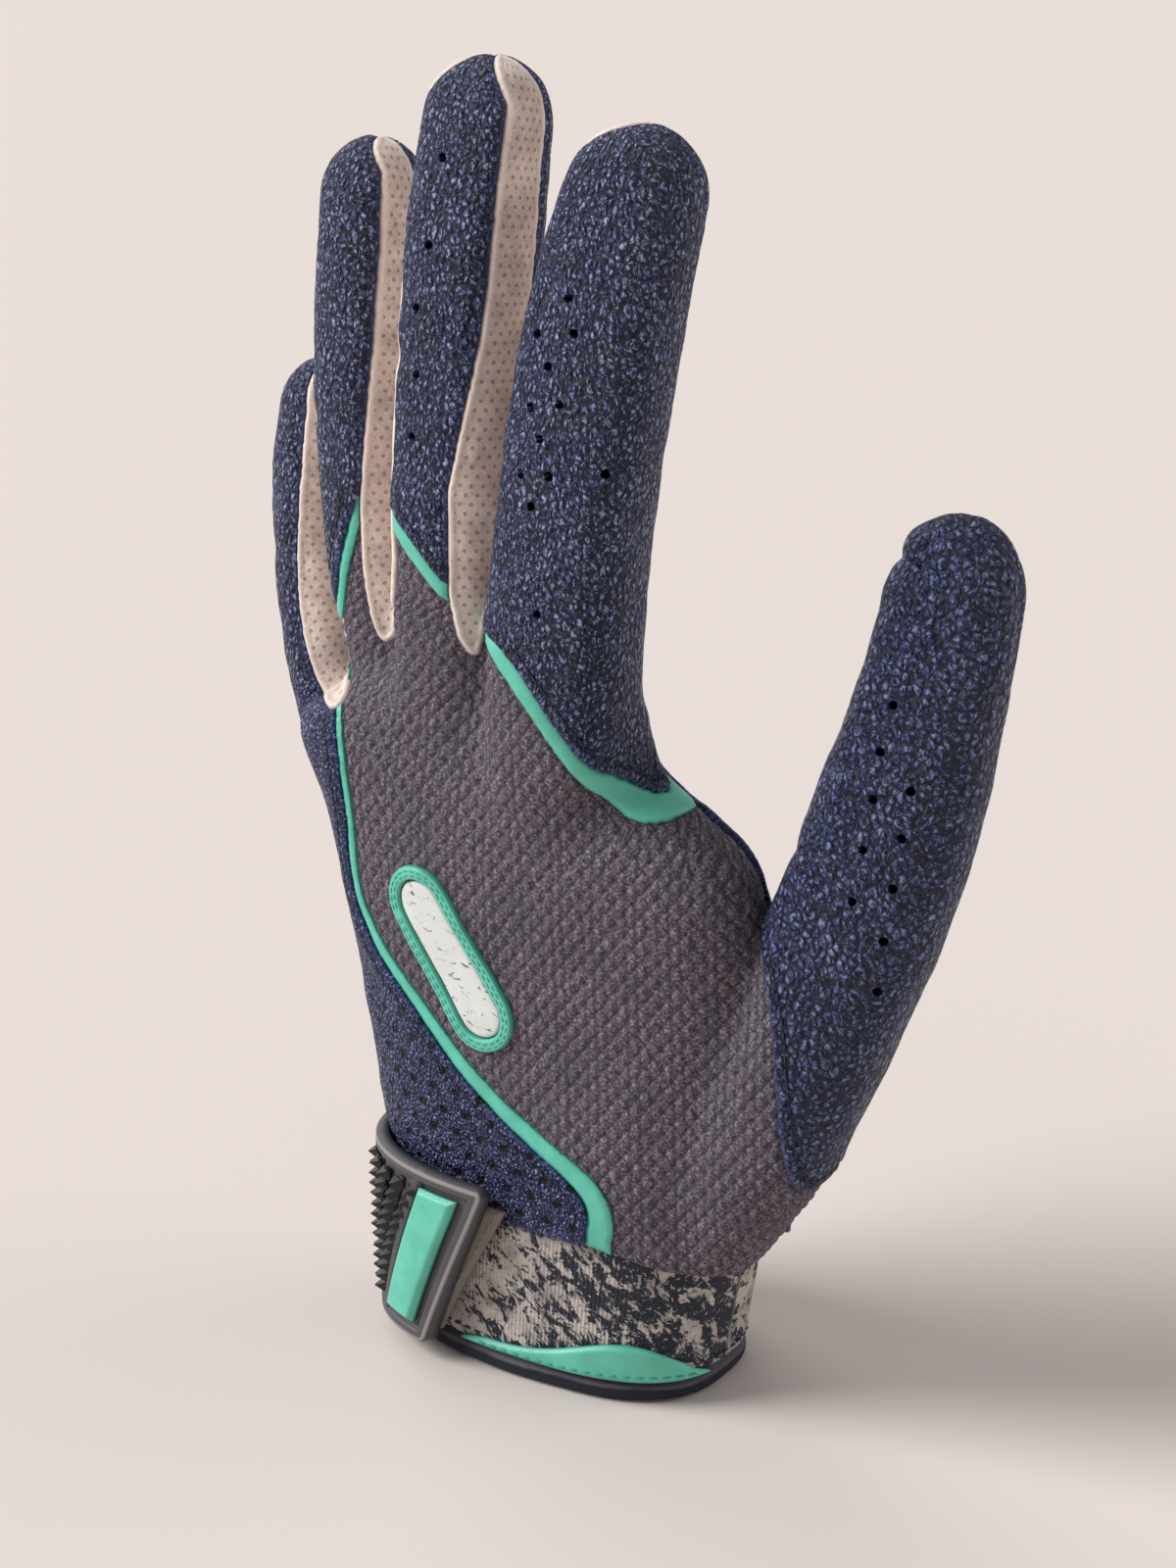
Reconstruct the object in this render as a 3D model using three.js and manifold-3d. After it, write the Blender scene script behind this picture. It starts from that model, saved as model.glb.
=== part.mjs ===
// A left-hand batting glove, opened out as on a display hand, in millimetres.
// Frame: origin at the centre of the wrist opening, +Z to the fingertips,
// +X to the thumb, +Y out of the palm.
import * as THREE from "three";
import Module from "manifold-3d";

const wasm = await Module();
wasm.setup();

// Sheets, seams and cutters
const leather = 1.4;
const seamGap = 0.3;
const trimThickness = 0.9;
const trimWidth = 3.6;
const overrun = 46;
const roundShare = 2.6;

// Cuff
const cuffHeight = 33;
const cuffWidth = 66;
const cuffDepth = 41.5;
const cuffTopWidth = 72;
const cuffTopDepth = 45;
const cuffTopShift = 2.6;
const cuffSheet = 1.8;
const liningSheet = 1.0;
const hemHeight = 4.2;
const hemSheet = 3.4;
const pipingHeight = 1.8;
const pipingSheet = 1;
const pipingStart = 32;
const pipingEnd = 84;
const flashHeight = 6;
const flashPeakShare = 1.7;
const loopSheet = 0.8;
const loopHeight = 25;
const notchWidth = 9;
const notchHeight = 21;
const notchAcross = -14;

// Palm: each row is height, shift across, shift to the back, width and depth
const palmHeight = 101;
const palmWidth = 90;
const palmDepth = 38;
const palmRowShares = [
  [0, 0.04, 0, 0.85, 1.2],
  [0.12, 0.028, 0.05, 0.905, 1.12],
  [0.29, 0.036, 0.13, 0.963, 0.95],
  [0.47, 0.024, 0.2, 0.988, 0.85],
  [0.64, 0.004, 0.26, 1.006, 0.8],
  [0.74, -0.02, 0.29, 1.01, 0.75],
  [0.82, -0.105, 0.3, 0.938, 0.68],
  [0.88, -0.16, 0.31, 0.848, 0.6],
  [0.94, -0.12, 0.32, 0.725, 0.52],
  [1, -0.06, 0.34, 0.624, 0.42],
];
const palmSeamShare = 0.06;

// Digits: sizes of each, place of its root in shares of the palm, and how it leans and bends
const indexLength = 137.3;
const indexWidth = 25.6;
const indexDepth = 21.5;
const indexTip = 12;
const middleLength = 138.4;
const middleWidth = 22.7;
const middleDepth = 20;
const middleTip = 11;
const ringLength = 123.6;
const ringWidth = 17.7;
const ringDepth = 18.8;
const ringTip = 10;
const littleLength = 101.7;
const littleWidth = 15;
const littleDepth = 16;
const littleTip = 9;
const thumbLength = 163.4;
const thumbWidth = 29.4;
const thumbDepth = 22;
const thumbTip = 12;
const indexWidthShares = [0.94, 1, 1.01, 0.98, 1, 0.95, 0.82];
const fingerWidthShares = [0.9, 0.96, 1, 1.01, 0.99, 0.96, 0.9];
const fingerDepthShares = [0.98, 1.02, 1.02, 0.98, 0.94, 0.88, 0.8];
const littleWidthShares = [0.3, 0.72, 0.97, 1.02, 1.02, 0.99, 0.95, 0.86];
const littleDepthShares = [0.5, 0.85, 1.02, 1.02, 1, 0.95, 0.89, 0.8];
const thumbWidthShares = [0.36, 0.71, 0.88, 0.91, 0.93, 0.95, 0.94, 0.84, 0.76, 0.65];
const thumbDepthShares = [0.5, 0.9, 1.15, 1.15, 1.08, 1, 0.92, 0.84, 0.76, 0.62];
const digits = {
  index: {
    rootShares: [0.069, 0.374, 0.678],
    length: indexLength, width: indexWidth, depth: indexDepth, tip: indexTip,
    leanAngle: 3.1, swayAngle: 6.8, tiltAngle: -6, curlAngle: 22, rollAngle: 3,
    hingeShare: 0.25, riseUlnarAngle: 32, riseRadialAngle: -26,
  },
  middle: {
    rootShares: [-0.196, 0.305, 0.743],
    length: middleLength, width: middleWidth, depth: middleDepth, tip: middleTip,
    leanAngle: 2.8, swayAngle: -2.6, tiltAngle: -5, curlAngle: 20, rollAngle: -2,
    hingeShare: 0.24, riseUlnarAngle: 48, riseRadialAngle: 26,
  },
  ring: {
    rootShares: [-0.336, 0.087, 0.717],
    length: ringLength, width: ringWidth, depth: ringDepth, tip: ringTip,
    leanAngle: -12.1, swayAngle: 10.1, tiltAngle: -5, curlAngle: 20, rollAngle: -10,
    hingeShare: 0.256, riseUlnarAngle: 32, riseRadialAngle: 52,
  },
  little: {
    rootShares: [-0.41, 0.068, 0.537],
    length: littleLength, width: littleWidth, depth: littleDepth, tip: littleTip,
    leanAngle: -35.6, swayAngle: 40.1, tiltAngle: 4, curlAngle: 8, rollAngle: -22,
    hingeShare: 0.42, riseUlnarAngle: -14, riseRadialAngle: 12,
  },
  thumb: {
    rootShares: [0.307, 0.168, -0.131],
    length: thumbLength, width: thumbWidth, depth: thumbDepth, tip: thumbTip,
    leanAngle: 26.1, swayAngle: -25.2, tiltAngle: 0, curlAngle: 13, rollAngle: 6,
  },
};
const thumbHingeAcross = 39.5;
const thumbHingePalmar = 10.6;
const thumbPanelBottom = 53;
const thumbPanelTop = 110;
const thumbRiseBottomAngle = 26;
const thumbRiseTopAngle = 15;

// Panel limits round each digit, in degrees from its thumb side towards the palm, at the root and the tip
const panelAngles = {
  index: { back: [205, 402, 205, 398], front: [42, 158, 38, 155], fourchette_ulnar: [158, 205, 155, 205] },
  middle: {
    back: [226, 302, 210, 326], front: [20, 158, 15, 155],
    fourchette_radial: [-58, 20, -34, 15], fourchette_ulnar: [158, 226, 155, 210],
  },
  ring: {
    back: [224, 304, 210, 326], front: [20, 158, 15, 155],
    fourchette_radial: [-56, 20, -34, 15], fourchette_ulnar: [158, 224, 155, 210],
  },
  little: { back: [150, 306, 152, 326], front: [20, 150, 15, 152], fourchette_radial: [-54, 20, -34, 15] },
  thumb: { back: [158, 398, 150, 398], front: [38, 158, 38, 150] },
};
const trimAngles = [228, 322, 228, 322];

// Trims and badge on the back: points are shares of palmWidth across and palmHeight above the cuff
const ulnarLineShares = [
  [-0.47, 0.93], [-0.43, 0.87], [-0.41, 0.78], [-0.41, 0.66], [-0.405, 0.57], [-0.36, 0.49],
  [-0.24, 0.385], [-0.08, 0.27], [0.1, 0.17], [0.19, 0.11], [0.2, 0.05], [0.195, -0.1],
];
const ulnarTrimRootShare = 0.35;
const ulnarTrimEndShare = 1.5;
const badgeLength = 38;
const badgeWidth = 15;
const badgeAcross = -11.5;
const badgeUp = 84;
const badgeTurnAngle = -56;
const badgeRim = 2.6;
const badgeThickness = 1.5;
const inletThickness = 0.9;

// Strap: along is measured round the cuff from its ulnar side towards the back
const strapRootAlong = -58;
const strapSeatLength = 11;
const strapHingeAlong = -9;
const hookStart = 4;
const strapEndTop = 43.5;
const strapEndBottom = 30;
const strapThickness = 1.2;
const strapHeight = 30;
const strapTop = 36.5;
const hookThickness = 0.8;
const hookMargin = 4;
const hookLength = 20;
const frameStart = -6;
const frameTop = 41;
const frameBottom = 3.4;
const frameEndTop = 42;
const frameEndBottom = 29.5;
const frameThickness = 1.4;
const frameRim = 2.4;
const rimRise = 1.1;
const plateWidth = 7.6;
const plateRise = 1.5;
const plateMargin = 4.2;
const barWidth = 1.6;
const spikeRows = 3;
const spikesInRow = 10;
const spikeSize = 2.2;
const spikeRise = 1.9;
const spikeFieldStart = -2.5;
const spikePitch = 3.8;
const spikeBed = 3;
const bedEndShare = 0.4;
const spikeFieldLean = 0.45;
const pullTabHeight = 14;
const pullTabReach = 7;
const pullTabSheet = 2.4;
const pullTabRowShare = 0.24;
const pullTabPalmar = 2;

// Colours seen on the glove
const navy = new THREE.Color(0x2b3654);
const navyDark = new THREE.Color(0x1d2538);
const teal = new THREE.Color(0x5fd6bb);
const suedeGrey = new THREE.Color(0xa69a94);
const knitGrey = new THREE.Color(0x57505a);
const cuffGrey = new THREE.Color(0xb5aaa5);
const paleGrey = new THREE.Color(0xd8dcda);
const rubberGrey = new THREE.Color(0x55525a);
const spikeBlack = new THREE.Color(0x17181c);
const looks = {
  leather: { color: navy, roughness: 0.62, metalness: 0 },
  lining: { color: navyDark, roughness: 0.9, metalness: 0 },
  teal: { color: teal, roughness: 0.5, metalness: 0 },
  suede: { color: suedeGrey, roughness: 0.95, metalness: 0 },
  knit: { color: knitGrey, roughness: 0.85, metalness: 0 },
  print: { color: cuffGrey, roughness: 0.85, metalness: 0 },
  pale: { color: paleGrey, roughness: 0.6, metalness: 0 },
  rubber: { color: rubberGrey, roughness: 0.55, metalness: 0 },
  spike: { color: spikeBlack, roughness: 0.5, metalness: 0 },
};

const glove = new THREE.Group();
const degrees = THREE.MathUtils.degToRad;
const lerp = THREE.MathUtils.lerp;
const vec = (x, y, z) => new THREE.Vector3(x, y, z);
const axisX = vec(1, 0, 0);

// Closed solids from points and triangles
function solid(points, triangles) {
  const vertProperties = new Float32Array(points.flatMap((p) => [p.x, p.y, p.z]));
  const build = (tris) =>
    new wasm.Manifold(new wasm.Mesh({ numProp: 3, vertProperties, triVerts: new Uint32Array(tris) }));
  const made = build(triangles);
  if (made.volume() >= 0) return made;
  const turned = [];
  for (let i = 0; i < triangles.length; i += 3) {
    turned.push(triangles[i], triangles[i + 2], triangles[i + 1]);
  }
  return build(turned);
}

// A solid through closed sections of equal point count, capped by fans at both ends.
// The last strip is split the other way, so that both sides of a wedge are split alike.
function loft(sections) {
  const count = sections[0].length;
  const triangles = [];
  for (let row = 0; row + 1 < sections.length; row++) {
    for (let k = 0; k < count; k++) {
      const a = row * count + k;
      const b = row * count + ((k + 1) % count);
      if (k + 1 < count) triangles.push(a, b, b + count, a, b + count, a + count);
      else triangles.push(a, b, a + count, b, b + count, a + count);
    }
  }
  const last = (sections.length - 1) * count;
  for (let k = 1; k + 1 < count; k++) {
    triangles.push(0, k + 1, k);
    triangles.push(last, last + k, last + k + 1);
  }
  return solid(sections.flat(), triangles);
}

const joined = (solids) => solids.reduce((a, b) => a.add(b));

function largest(made) {
  return made.decompose().reduce((a, b) => (b.volume() > a.volume() ? b : a));
}

function addMesh(name, made, look) {
  const mesh = largest(made).getMesh();
  const geometry = new THREE.BufferGeometry();
  const points = new Float32Array(mesh.numVert * 3);
  for (let i = 0; i < mesh.numVert; i++) {
    points.set(mesh.vertProperties.subarray(i * mesh.numProp, i * mesh.numProp + 3), i * 3);
  }
  geometry.setAttribute("position", new THREE.BufferAttribute(points, 3));
  geometry.setIndex(new THREE.BufferAttribute(mesh.triVerts, 1));
  geometry.computeVertexNormals();
  const material = new THREE.MeshStandardMaterial({ ...looks[look], flatShading: true });
  const node = new THREE.Mesh(geometry, material);
  node.name = name;
  glove.add(node);
}

function shareAt(shares, t) {
  const place = THREE.MathUtils.clamp(t, 0, 1) * (shares.length - 1);
  const low = Math.min(Math.floor(place), shares.length - 2);
  return lerp(shares[low], shares[low + 1], place - low);
}

// A superellipse: the flattened round section of a hand, a finger or a cuff
function roundPoint(angle, halfWidth, halfDepth) {
  const c = Math.cos(angle);
  const s = Math.sin(angle);
  return [
    halfWidth * Math.sign(c) * Math.abs(c) ** (2 / roundShare),
    halfDepth * Math.sign(s) * Math.abs(s) ** (2 / roundShare),
  ];
}

// Digits: a bone line that leans and curls, with frames along it
const lineSteps = 60;
function boneLine(digit, swayPower) {
  const frames = [];
  const [across, back, up] = digit.rootShares;
  const place = vec(palmWidth * across, -palmDepth * back, cuffHeight + palmHeight * up);
  for (let i = 0; i <= lineSteps; i++) {
    const t = i / lineSteps;
    const lean = degrees(digit.leanAngle + digit.swayAngle * t ** swayPower);
    const tilt = degrees(digit.tiltAngle + digit.curlAngle * t ** 1.5);
    const along = vec(Math.sin(lean) * Math.cos(tilt), Math.sin(tilt), Math.cos(lean) * Math.cos(tilt));
    const radial = vec(Math.cos(degrees(digit.rollAngle)), Math.sin(degrees(digit.rollAngle)), 0);
    radial.addScaledVector(along, -along.dot(radial)).normalize();
    const palmar = along.clone().cross(radial);
    frames.push({ place: place.clone(), along, radial, palmar });
    place.addScaledVector(along, digit.length / lineSteps);
  }
  return frames;
}

function frameAt(frames, t) {
  const place = t * lineSteps;
  const low = THREE.MathUtils.clamp(Math.floor(place), 0, lineSteps - 1);
  const f = frames[low];
  const g = frames[low + 1];
  const k = place - low;
  return {
    place: f.place.clone().lerp(g.place, k),
    along: f.along.clone().lerp(g.along, k).normalize(),
    radial: f.radial.clone().lerp(g.radial, k).normalize(),
    palmar: f.palmar.clone().lerp(g.palmar, k).normalize(),
  };
}

for (const digit of Object.values(digits)) {
  digit.frames = boneLine(digit, 1);
  digit.widthShares = fingerWidthShares;
  digit.depthShares = fingerDepthShares;
}
digits.thumb.frames = boneLine(digits.thumb, 1.8);
digits.thumb.widthShares = thumbWidthShares;
digits.thumb.depthShares = thumbDepthShares;
digits.index.widthShares = indexWidthShares;
digits.little.widthShares = littleWidthShares;
digits.little.depthShares = littleDepthShares;

const around = 14;
const tubeRows = 7;
const tipRows = 4;
// grow is how far the surface lies outside the leather's outer face, or inside it where below zero
function tube(digit, grow) {
  const end = (digit.length + grow) / digit.length;
  const tipShare = (digit.tip + grow) / (digit.length + grow);
  const rows = [];
  for (let i = 0; i < tubeRows; i++) rows.push((1 - tipShare) * (i / tubeRows));
  for (let i = 0; i <= tipRows; i++) {
    rows.push(1 - tipShare + tipShare * Math.sin((Math.PI / 2) * (i / tipRows) * 0.96));
  }
  return loft(rows.map((t) => {
    const frame = frameAt(digit.frames, t * end);
    const tip = Math.max(0, (t - 1 + tipShare) / tipShare);
    const round = (1 - tip ** 2.2) ** 0.5;
    const halfWidth = ((digit.width / 2) * shareAt(digit.widthShares, t * end) + grow) * round;
    const halfDepth = ((digit.depth / 2) * shareAt(digit.depthShares, t * end) + grow) * round;
    const section = [];
    for (let k = 0; k < around; k++) {
      const [x, y] = roundPoint((2 * Math.PI * k) / around, halfWidth, halfDepth);
      section.push(frame.place.clone().addScaledVector(frame.radial, x).addScaledVector(frame.palmar, y));
    }
    return section;
  }));
}

// Palm: a loft from the wrist to the webs of the fingers
const palmAround = 24;
function palmRow(t) {
  const column = (k) => shareAt(palmRowShares.map((row) => row[k]), t);
  const heights = palmRowShares.map((row) => row[0]);
  return {
    up: cuffHeight + palmHeight * shareAt(heights, t),
    across: palmWidth * column(1),
    back: palmDepth * column(2),
    halfWidth: (palmWidth * column(3)) / 2,
    halfDepth: (palmDepth * column(4)) / 2,
  };
}

function palmSolid(grow) {
  const rows = palmRowShares.length;
  const sections = [];
  for (let i = 0; i < rows; i++) {
    const row = palmRow(i / (rows - 1));
    const section = [];
    for (let k = 0; k < palmAround; k++) {
      const angle = (2 * Math.PI * k) / palmAround;
      const [x, y] = roundPoint(angle, row.halfWidth + grow, row.halfDepth + grow);
      section.push(vec(row.across + x, y - row.back, row.up + (i === rows - 1 ? grow : 0)));
    }
    sections.push(section);
  }
  const first = sections[0];
  sections.unshift(first.map((p) => p.clone().setZ(cuffHeight - leather)));
  return loft(sections);
}

function handSolid(grow) {
  return joined([palmSolid(grow), ...Object.values(digits).map((digit) => tube(digit, grow))]);
}

// A block between two levels, wide enough to cut the whole glove
function levelBlock(low, high) {
  const corners = [[-1, -1], [1, -1], [1, 1], [-1, 1]];
  const reach = palmWidth + overrun;
  return loft([low, high].map((z) => corners.map(([x, y]) => vec(x * reach, y * reach, z))));
}

// The part of a digit that its hinge moves: beyond rays that spread from the hinge line to the back
function supportOf(digit, frame, towards) {
  let most = 0;
  for (let k = 0; k < 72; k++) {
    const t = digit.hingeShare;
    const halfWidth = (digit.width / 2) * shareAt(digit.widthShares, t);
    const halfDepth = (digit.depth / 2) * shareAt(digit.depthShares, t);
    const [x, y] = roundPoint((2 * Math.PI * k) / 72, halfWidth, halfDepth);
    const point = frame.radial.clone().multiplyScalar(x).addScaledVector(frame.palmar, y);
    most = Math.max(most, point.dot(towards));
  }
  return most;
}

function fingerHinge(digit) {
  const frame = frameAt(digit.frames, digit.hingeShare);
  const axis = axisX.clone().addScaledVector(frame.along, -frame.along.dot(axisX)).normalize();
  const palmar = frame.along.clone().cross(axis);
  const pivot = frame.place.clone().addScaledVector(palmar, supportOf(digit, frame, palmar));
  return {
    pivot, axis, towards: frame.along, back: palmar.clone().negate(),
    low: -digit.width / 2, high: digit.width / 2,
    rise: (u) => {
      const share = THREE.MathUtils.clamp(0.5 + u / digit.width, 0, 1);
      return lerp(digit.riseUlnarAngle, digit.riseRadialAngle, share);
    },
  };
}

const thumbPanelHeight = thumbPanelTop - thumbPanelBottom;
const thumbHinge = {
  pivot: vec(thumbHingeAcross, thumbHingePalmar, thumbPanelBottom),
  axis: vec(0, 0, 1), towards: axisX, back: vec(0, -1, 0),
  low: 0, high: thumbPanelHeight,
  rise: (u) => lerp(thumbRiseBottomAngle, thumbRiseTopAngle, Math.min(1, u / thumbPanelHeight)),
};

const hinges = { thumb: thumbHinge };
for (const name of ["index", "middle", "ring", "little"]) hinges[name] = fingerHinge(digits[name]);

// The cut follows rays that spread from the hinge line, in short cells so that the twist stays smooth
const hingeSteps = 6;
const rayCells = 3;
function movingSide(hinge, lift) {
  const vertical = hinge === thumbHinge;
  const far = vertical ? overrun * 1.5 : overrun * 3;
  const low = hinge.low + (vertical ? lift : 0);
  const levels = [-overrun + low];
  for (let i = 0; i <= hingeSteps; i++) levels.push(lerp(low, hinge.high, i / hingeSteps));
  levels.push(hinge.high + overrun * (vertical ? 3 : 1));
  const sections = (vertical ? levels.slice(1) : levels).map((u) => {
    const rise = degrees(hinge.rise(u));
    const apex = hinge.pivot.clone().addScaledVector(hinge.axis, u).addScaledVector(hinge.towards, lift);
    const at = (back, towards) =>
      apex.clone().addScaledVector(hinge.back, back).addScaledVector(hinge.towards, towards);
    const ray = [];
    for (let k = 0; k <= rayCells; k++) {
      const reach = (overrun * k) / rayCells;
      ray.push(at(reach * Math.cos(rise), reach * Math.sin(rise)));
    }
    return [...ray, at(overrun * 1.5, far), at(-far * 0.6, far)];
  });
  return loft(sections);
}

// Hand body: everything below the hinges
const handOuter = handSolid(0);
const handInner = handSolid(-leather);
let handShell = handOuter;
for (const [name, digit] of Object.entries(digits)) {
  const head = tube(digit, seamGap).intersect(movingSide(hinges[name], -seamGap / 2));
  handShell = handShell.subtract(head);
}
handShell = handShell.subtract(handInner).intersect(levelBlock(cuffHeight + seamGap, overrun * 6));

// Cutters that run from back to palm follow the side seams of the palm
function seamSide(sign) {
  const rows = [];
  const steps = palmRowShares.length;
  for (let i = 0; i < steps; i++) {
    const row = palmRow(i / (steps - 1));
    rows.push([row.up, palmDepth * palmSeamShare - row.back]);
  }
  rows.unshift([-overrun, rows[0][1]]);
  rows.push([overrun * 6, rows[rows.length - 1][1]]);
  const reach = palmWidth + overrun;
  return loft(rows.map(([z, y]) => {
    const near = y + (sign * seamGap) / 2;
    const far = sign * reach;
    return [vec(-reach, near, z), vec(reach, near, z), vec(reach, far, z), vec(-reach, far, z)];
  }));
}

// A prism through the back of the hand from an outline in X and Z
function backPrism(outline, deep = 0) {
  const shape = new THREE.Shape(outline.map(([x, z]) => new THREE.Vector2(x, z)));
  const flat = shape.extractPoints(1).shape;
  const ring = THREE.ShapeUtils.isClockWise(flat) ? flat.slice().reverse() : flat;
  const faces = THREE.ShapeUtils.triangulateShape(ring, []);
  const count = ring.length;
  const points = [
    ...ring.map((p) => vec(p.x, -overrun * 2, p.y)),
    ...ring.map((p) => vec(p.x, deep, p.y)),
  ];
  const triangles = [];
  for (const [a, b, c] of faces) {
    triangles.push(a, b, c, a + count, c + count, b + count);
  }
  for (let k = 0; k < count; k++) {
    const next = (k + 1) % count;
    triangles.push(k, k + count, next + count, k, next + count, next);
  }
  return solid(points, triangles);
}

const onPalm = ([across, up]) => new THREE.Vector2(palmWidth * across, cuffHeight + palmHeight * up);
const ulnarCurve = new THREE.SplineCurve(ulnarLineShares.map(onPalm));
const ulnarPoints = ulnarCurve.getPoints(18);

// The ulnar line shifted sideways by a width that may change along it
function besideLine(points, widthAt) {
  return points.map((p, i) => {
    const before = points[Math.max(0, i - 1)];
    const after = points[Math.min(points.length - 1, i + 1)];
    const side = new THREE.Vector2(after.y - before.y, before.x - after.x).normalize();
    return p.clone().addScaledVector(side, widthAt(i / (points.length - 1)));
  });
}

function ulnarRegion(shift) {
  const line = besideLine(ulnarPoints, () => -shift);
  const farLeft = -palmWidth;
  return [...line.map((p) => [p.x, p.y]), [farLeft, line[line.length - 1].y], [farLeft, line[0].y]];
}

const backShell = handShell.intersect(seamSide(-1));
addMesh("palm_leather", handShell.intersect(seamSide(1)), "leather");
addMesh("ulnar_side_panel", backShell.intersect(backPrism(ulnarRegion(0))), "leather");
addMesh("back_panel", backShell.subtract(backPrism(ulnarRegion(seamGap))), "knit");

// Digit panels: the shell of each digit beyond its hinge, shared out round the bone line
const wedgeRows = 6;
function wedge(digit, [rootStart, rootEnd, tipStart, tipEnd]) {
  const sections = [];
  const radius = digit.width * 1.5;
  for (let i = -1; i <= wedgeRows + 1; i++) {
    const t = i / wedgeRows;
    const frame = frameAt(digit.frames, THREE.MathUtils.clamp(t, 0, 1));
    const place = frame.place.clone();
    if (t < 0 || t > 1) place.addScaledVector(frame.along, Math.sign(t) * digit.tip);
    const share = THREE.MathUtils.clamp(t, 0, 1);
    const start = degrees(lerp(rootStart, tipStart, share));
    const end = degrees(lerp(rootEnd, tipEnd, share));
    const middle = (start + end) / 2;
    const shift = seamGap / 2 / Math.sin((end - start) / 2);
    const at = (angle, reach) =>
      place.clone()
        .addScaledVector(frame.radial, Math.cos(angle) * reach)
        .addScaledVector(frame.palmar, Math.sin(angle) * reach);
    const apex = at(middle, shift);
    const section = [apex];
    for (let k = 0; k <= 4; k++) section.push(at(lerp(start, end, k / 4), radius).sub(place).add(apex));
    sections.push(section);
  }
  return loft(sections);
}

const panelLooks = {
  back: "leather", front: "leather", fourchette_radial: "suede", fourchette_ulnar: "suede",
};
for (const [name, digit] of Object.entries(digits)) {
  const sheet = tube(digit, 0).subtract(tube(digit, -leather));
  const shell = sheet.intersect(movingSide(hinges[name], seamGap / 2));
  for (const [panel, limits] of Object.entries(panelAngles[name])) {
    addMesh(name + "_" + panel, shell.intersect(wedge(digit, limits)), panelLooks[panel]);
  }
}

// Layers laid on the back of the hand: trims and the badge
function layer(lift, thickness) {
  return handSolid(lift + thickness).subtract(handSolid(lift));
}

const trimLayer = layer(seamGap, trimThickness);
const aboveHinges = joined(Object.values(hinges).map((hinge) => movingSide(hinge, -seamGap)));
const backSide = seamSide(-1);

for (const name of ["index", "middle", "ring"]) {
  const hinge = hinges[name];
  const band = movingSide(hinge, -seamGap - trimWidth).subtract(movingSide(hinge, -seamGap));
  const own = tube(digits[name], seamGap * 2 + trimThickness).intersect(wedge(digits[name], trimAngles));
  addMesh(name + "_trim", trimLayer.intersect(band).intersect(own), "teal");
}

const ulnarTrimWidth = (t) => trimWidth * lerp(ulnarTrimRootShare, ulnarTrimEndShare, t ** 1.5);
const trimOuter = besideLine(ulnarPoints, (t) => -seamGap * 2 - ulnarTrimWidth(t));
const trimInner = besideLine(ulnarPoints, () => -seamGap * 2);
const ulnarTrim = backPrism([...trimInner, ...trimOuter.reverse()].map((p) => [p.x, p.y]));
const aboveCuff = levelBlock(cuffHeight + seamGap * 2, overrun * 6);
const ulnarBand = trimLayer.intersect(ulnarTrim).intersect(backSide).intersect(aboveCuff);
addMesh("ulnar_trim", ulnarBand.subtract(aboveHinges), "teal");

function outlineTurned(points, across, up, turn) {
  const c = Math.cos(degrees(turn));
  const s = Math.sin(degrees(turn));
  return points.map(([x, z]) => [across + x * c - z * s, up + x * s + z * c]);
}

function capsule(length, width) {
  const points = [];
  const straight = length / 2 - width / 2;
  for (let k = 0; k <= 8; k++) {
    const a = -Math.PI / 2 + (Math.PI * k) / 8;
    points.push([straight + (Math.cos(a) * width) / 2, (Math.sin(a) * width) / 2]);
  }
  for (let k = 0; k <= 8; k++) {
    const a = Math.PI / 2 + (Math.PI * k) / 8;
    points.push([-straight + (Math.cos(a) * width) / 2, (Math.sin(a) * width) / 2]);
  }
  return points;
}

const badgeAt = (inset) => {
  const outline = capsule(badgeLength - 2 * inset, badgeWidth - 2 * inset);
  return backPrism(outlineTurned(outline, badgeAcross, badgeUp, badgeTurnAngle));
};
const badgeRing = badgeAt(0).subtract(badgeAt(badgeRim));
const badgeFill = badgeAt(badgeRim + seamGap);
addMesh("badge_rim", layer(seamGap, badgeThickness).intersect(badgeRing).intersect(backSide), "teal");
addMesh("badge_inlay", layer(seamGap, inletThickness).intersect(badgeFill).intersect(backSide), "pale");

// Cuff: a superelliptic sleeve; along is the length round it from the ulnar side towards the back
function cuffPoint(angle, z, lift) {
  const t = z / cuffHeight;
  const halfWidth = lerp(cuffWidth, cuffTopWidth, t) / 2 + lift;
  const halfDepth = lerp(cuffDepth, cuffTopDepth, t) / 2 + lift;
  const [x, y] = roundPoint(angle, halfWidth, halfDepth);
  return vec(x + cuffTopShift * t, y, z);
}

const cuffAngles = 360;
const cuffLengths = [0];
for (let i = 1; i <= cuffAngles; i++) {
  const step = cuffPoint(degrees(i), 0, 0).distanceTo(cuffPoint(degrees(i - 1), 0, 0));
  cuffLengths.push(cuffLengths[i - 1] + step);
}

function cuffAngle(along) {
  const whole = cuffLengths[cuffAngles];
  const place = (((cuffLengths[cuffAngles / 2] + along) % whole) + whole) % whole;
  const i = Math.min(cuffAngles - 1, Math.max(0, cuffLengths.findIndex((l) => l > place) - 1));
  return degrees(i + (place - cuffLengths[i]) / (cuffLengths[i + 1] - cuffLengths[i]));
}

const onCuff = (along, z, lift) => cuffPoint(cuffAngle(along), z, lift);

const cuffAround = 40;
const patchStep = 3.2;
function cuffRing(levels) {
  const face = (z, lift) => Array.from({ length: cuffAround }, (_, k) =>
    cuffPoint((2 * Math.PI * k) / cuffAround, z, lift));
  const outer = loft(levels.map(([z, , lift]) => face(z, lift)));
  const low = levels[0];
  const high = levels[levels.length - 1];
  const bore = loft([face(low[0] - leather, low[1]), face(high[0] + leather, high[1])]);
  return outer.subtract(bore);
}

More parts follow.
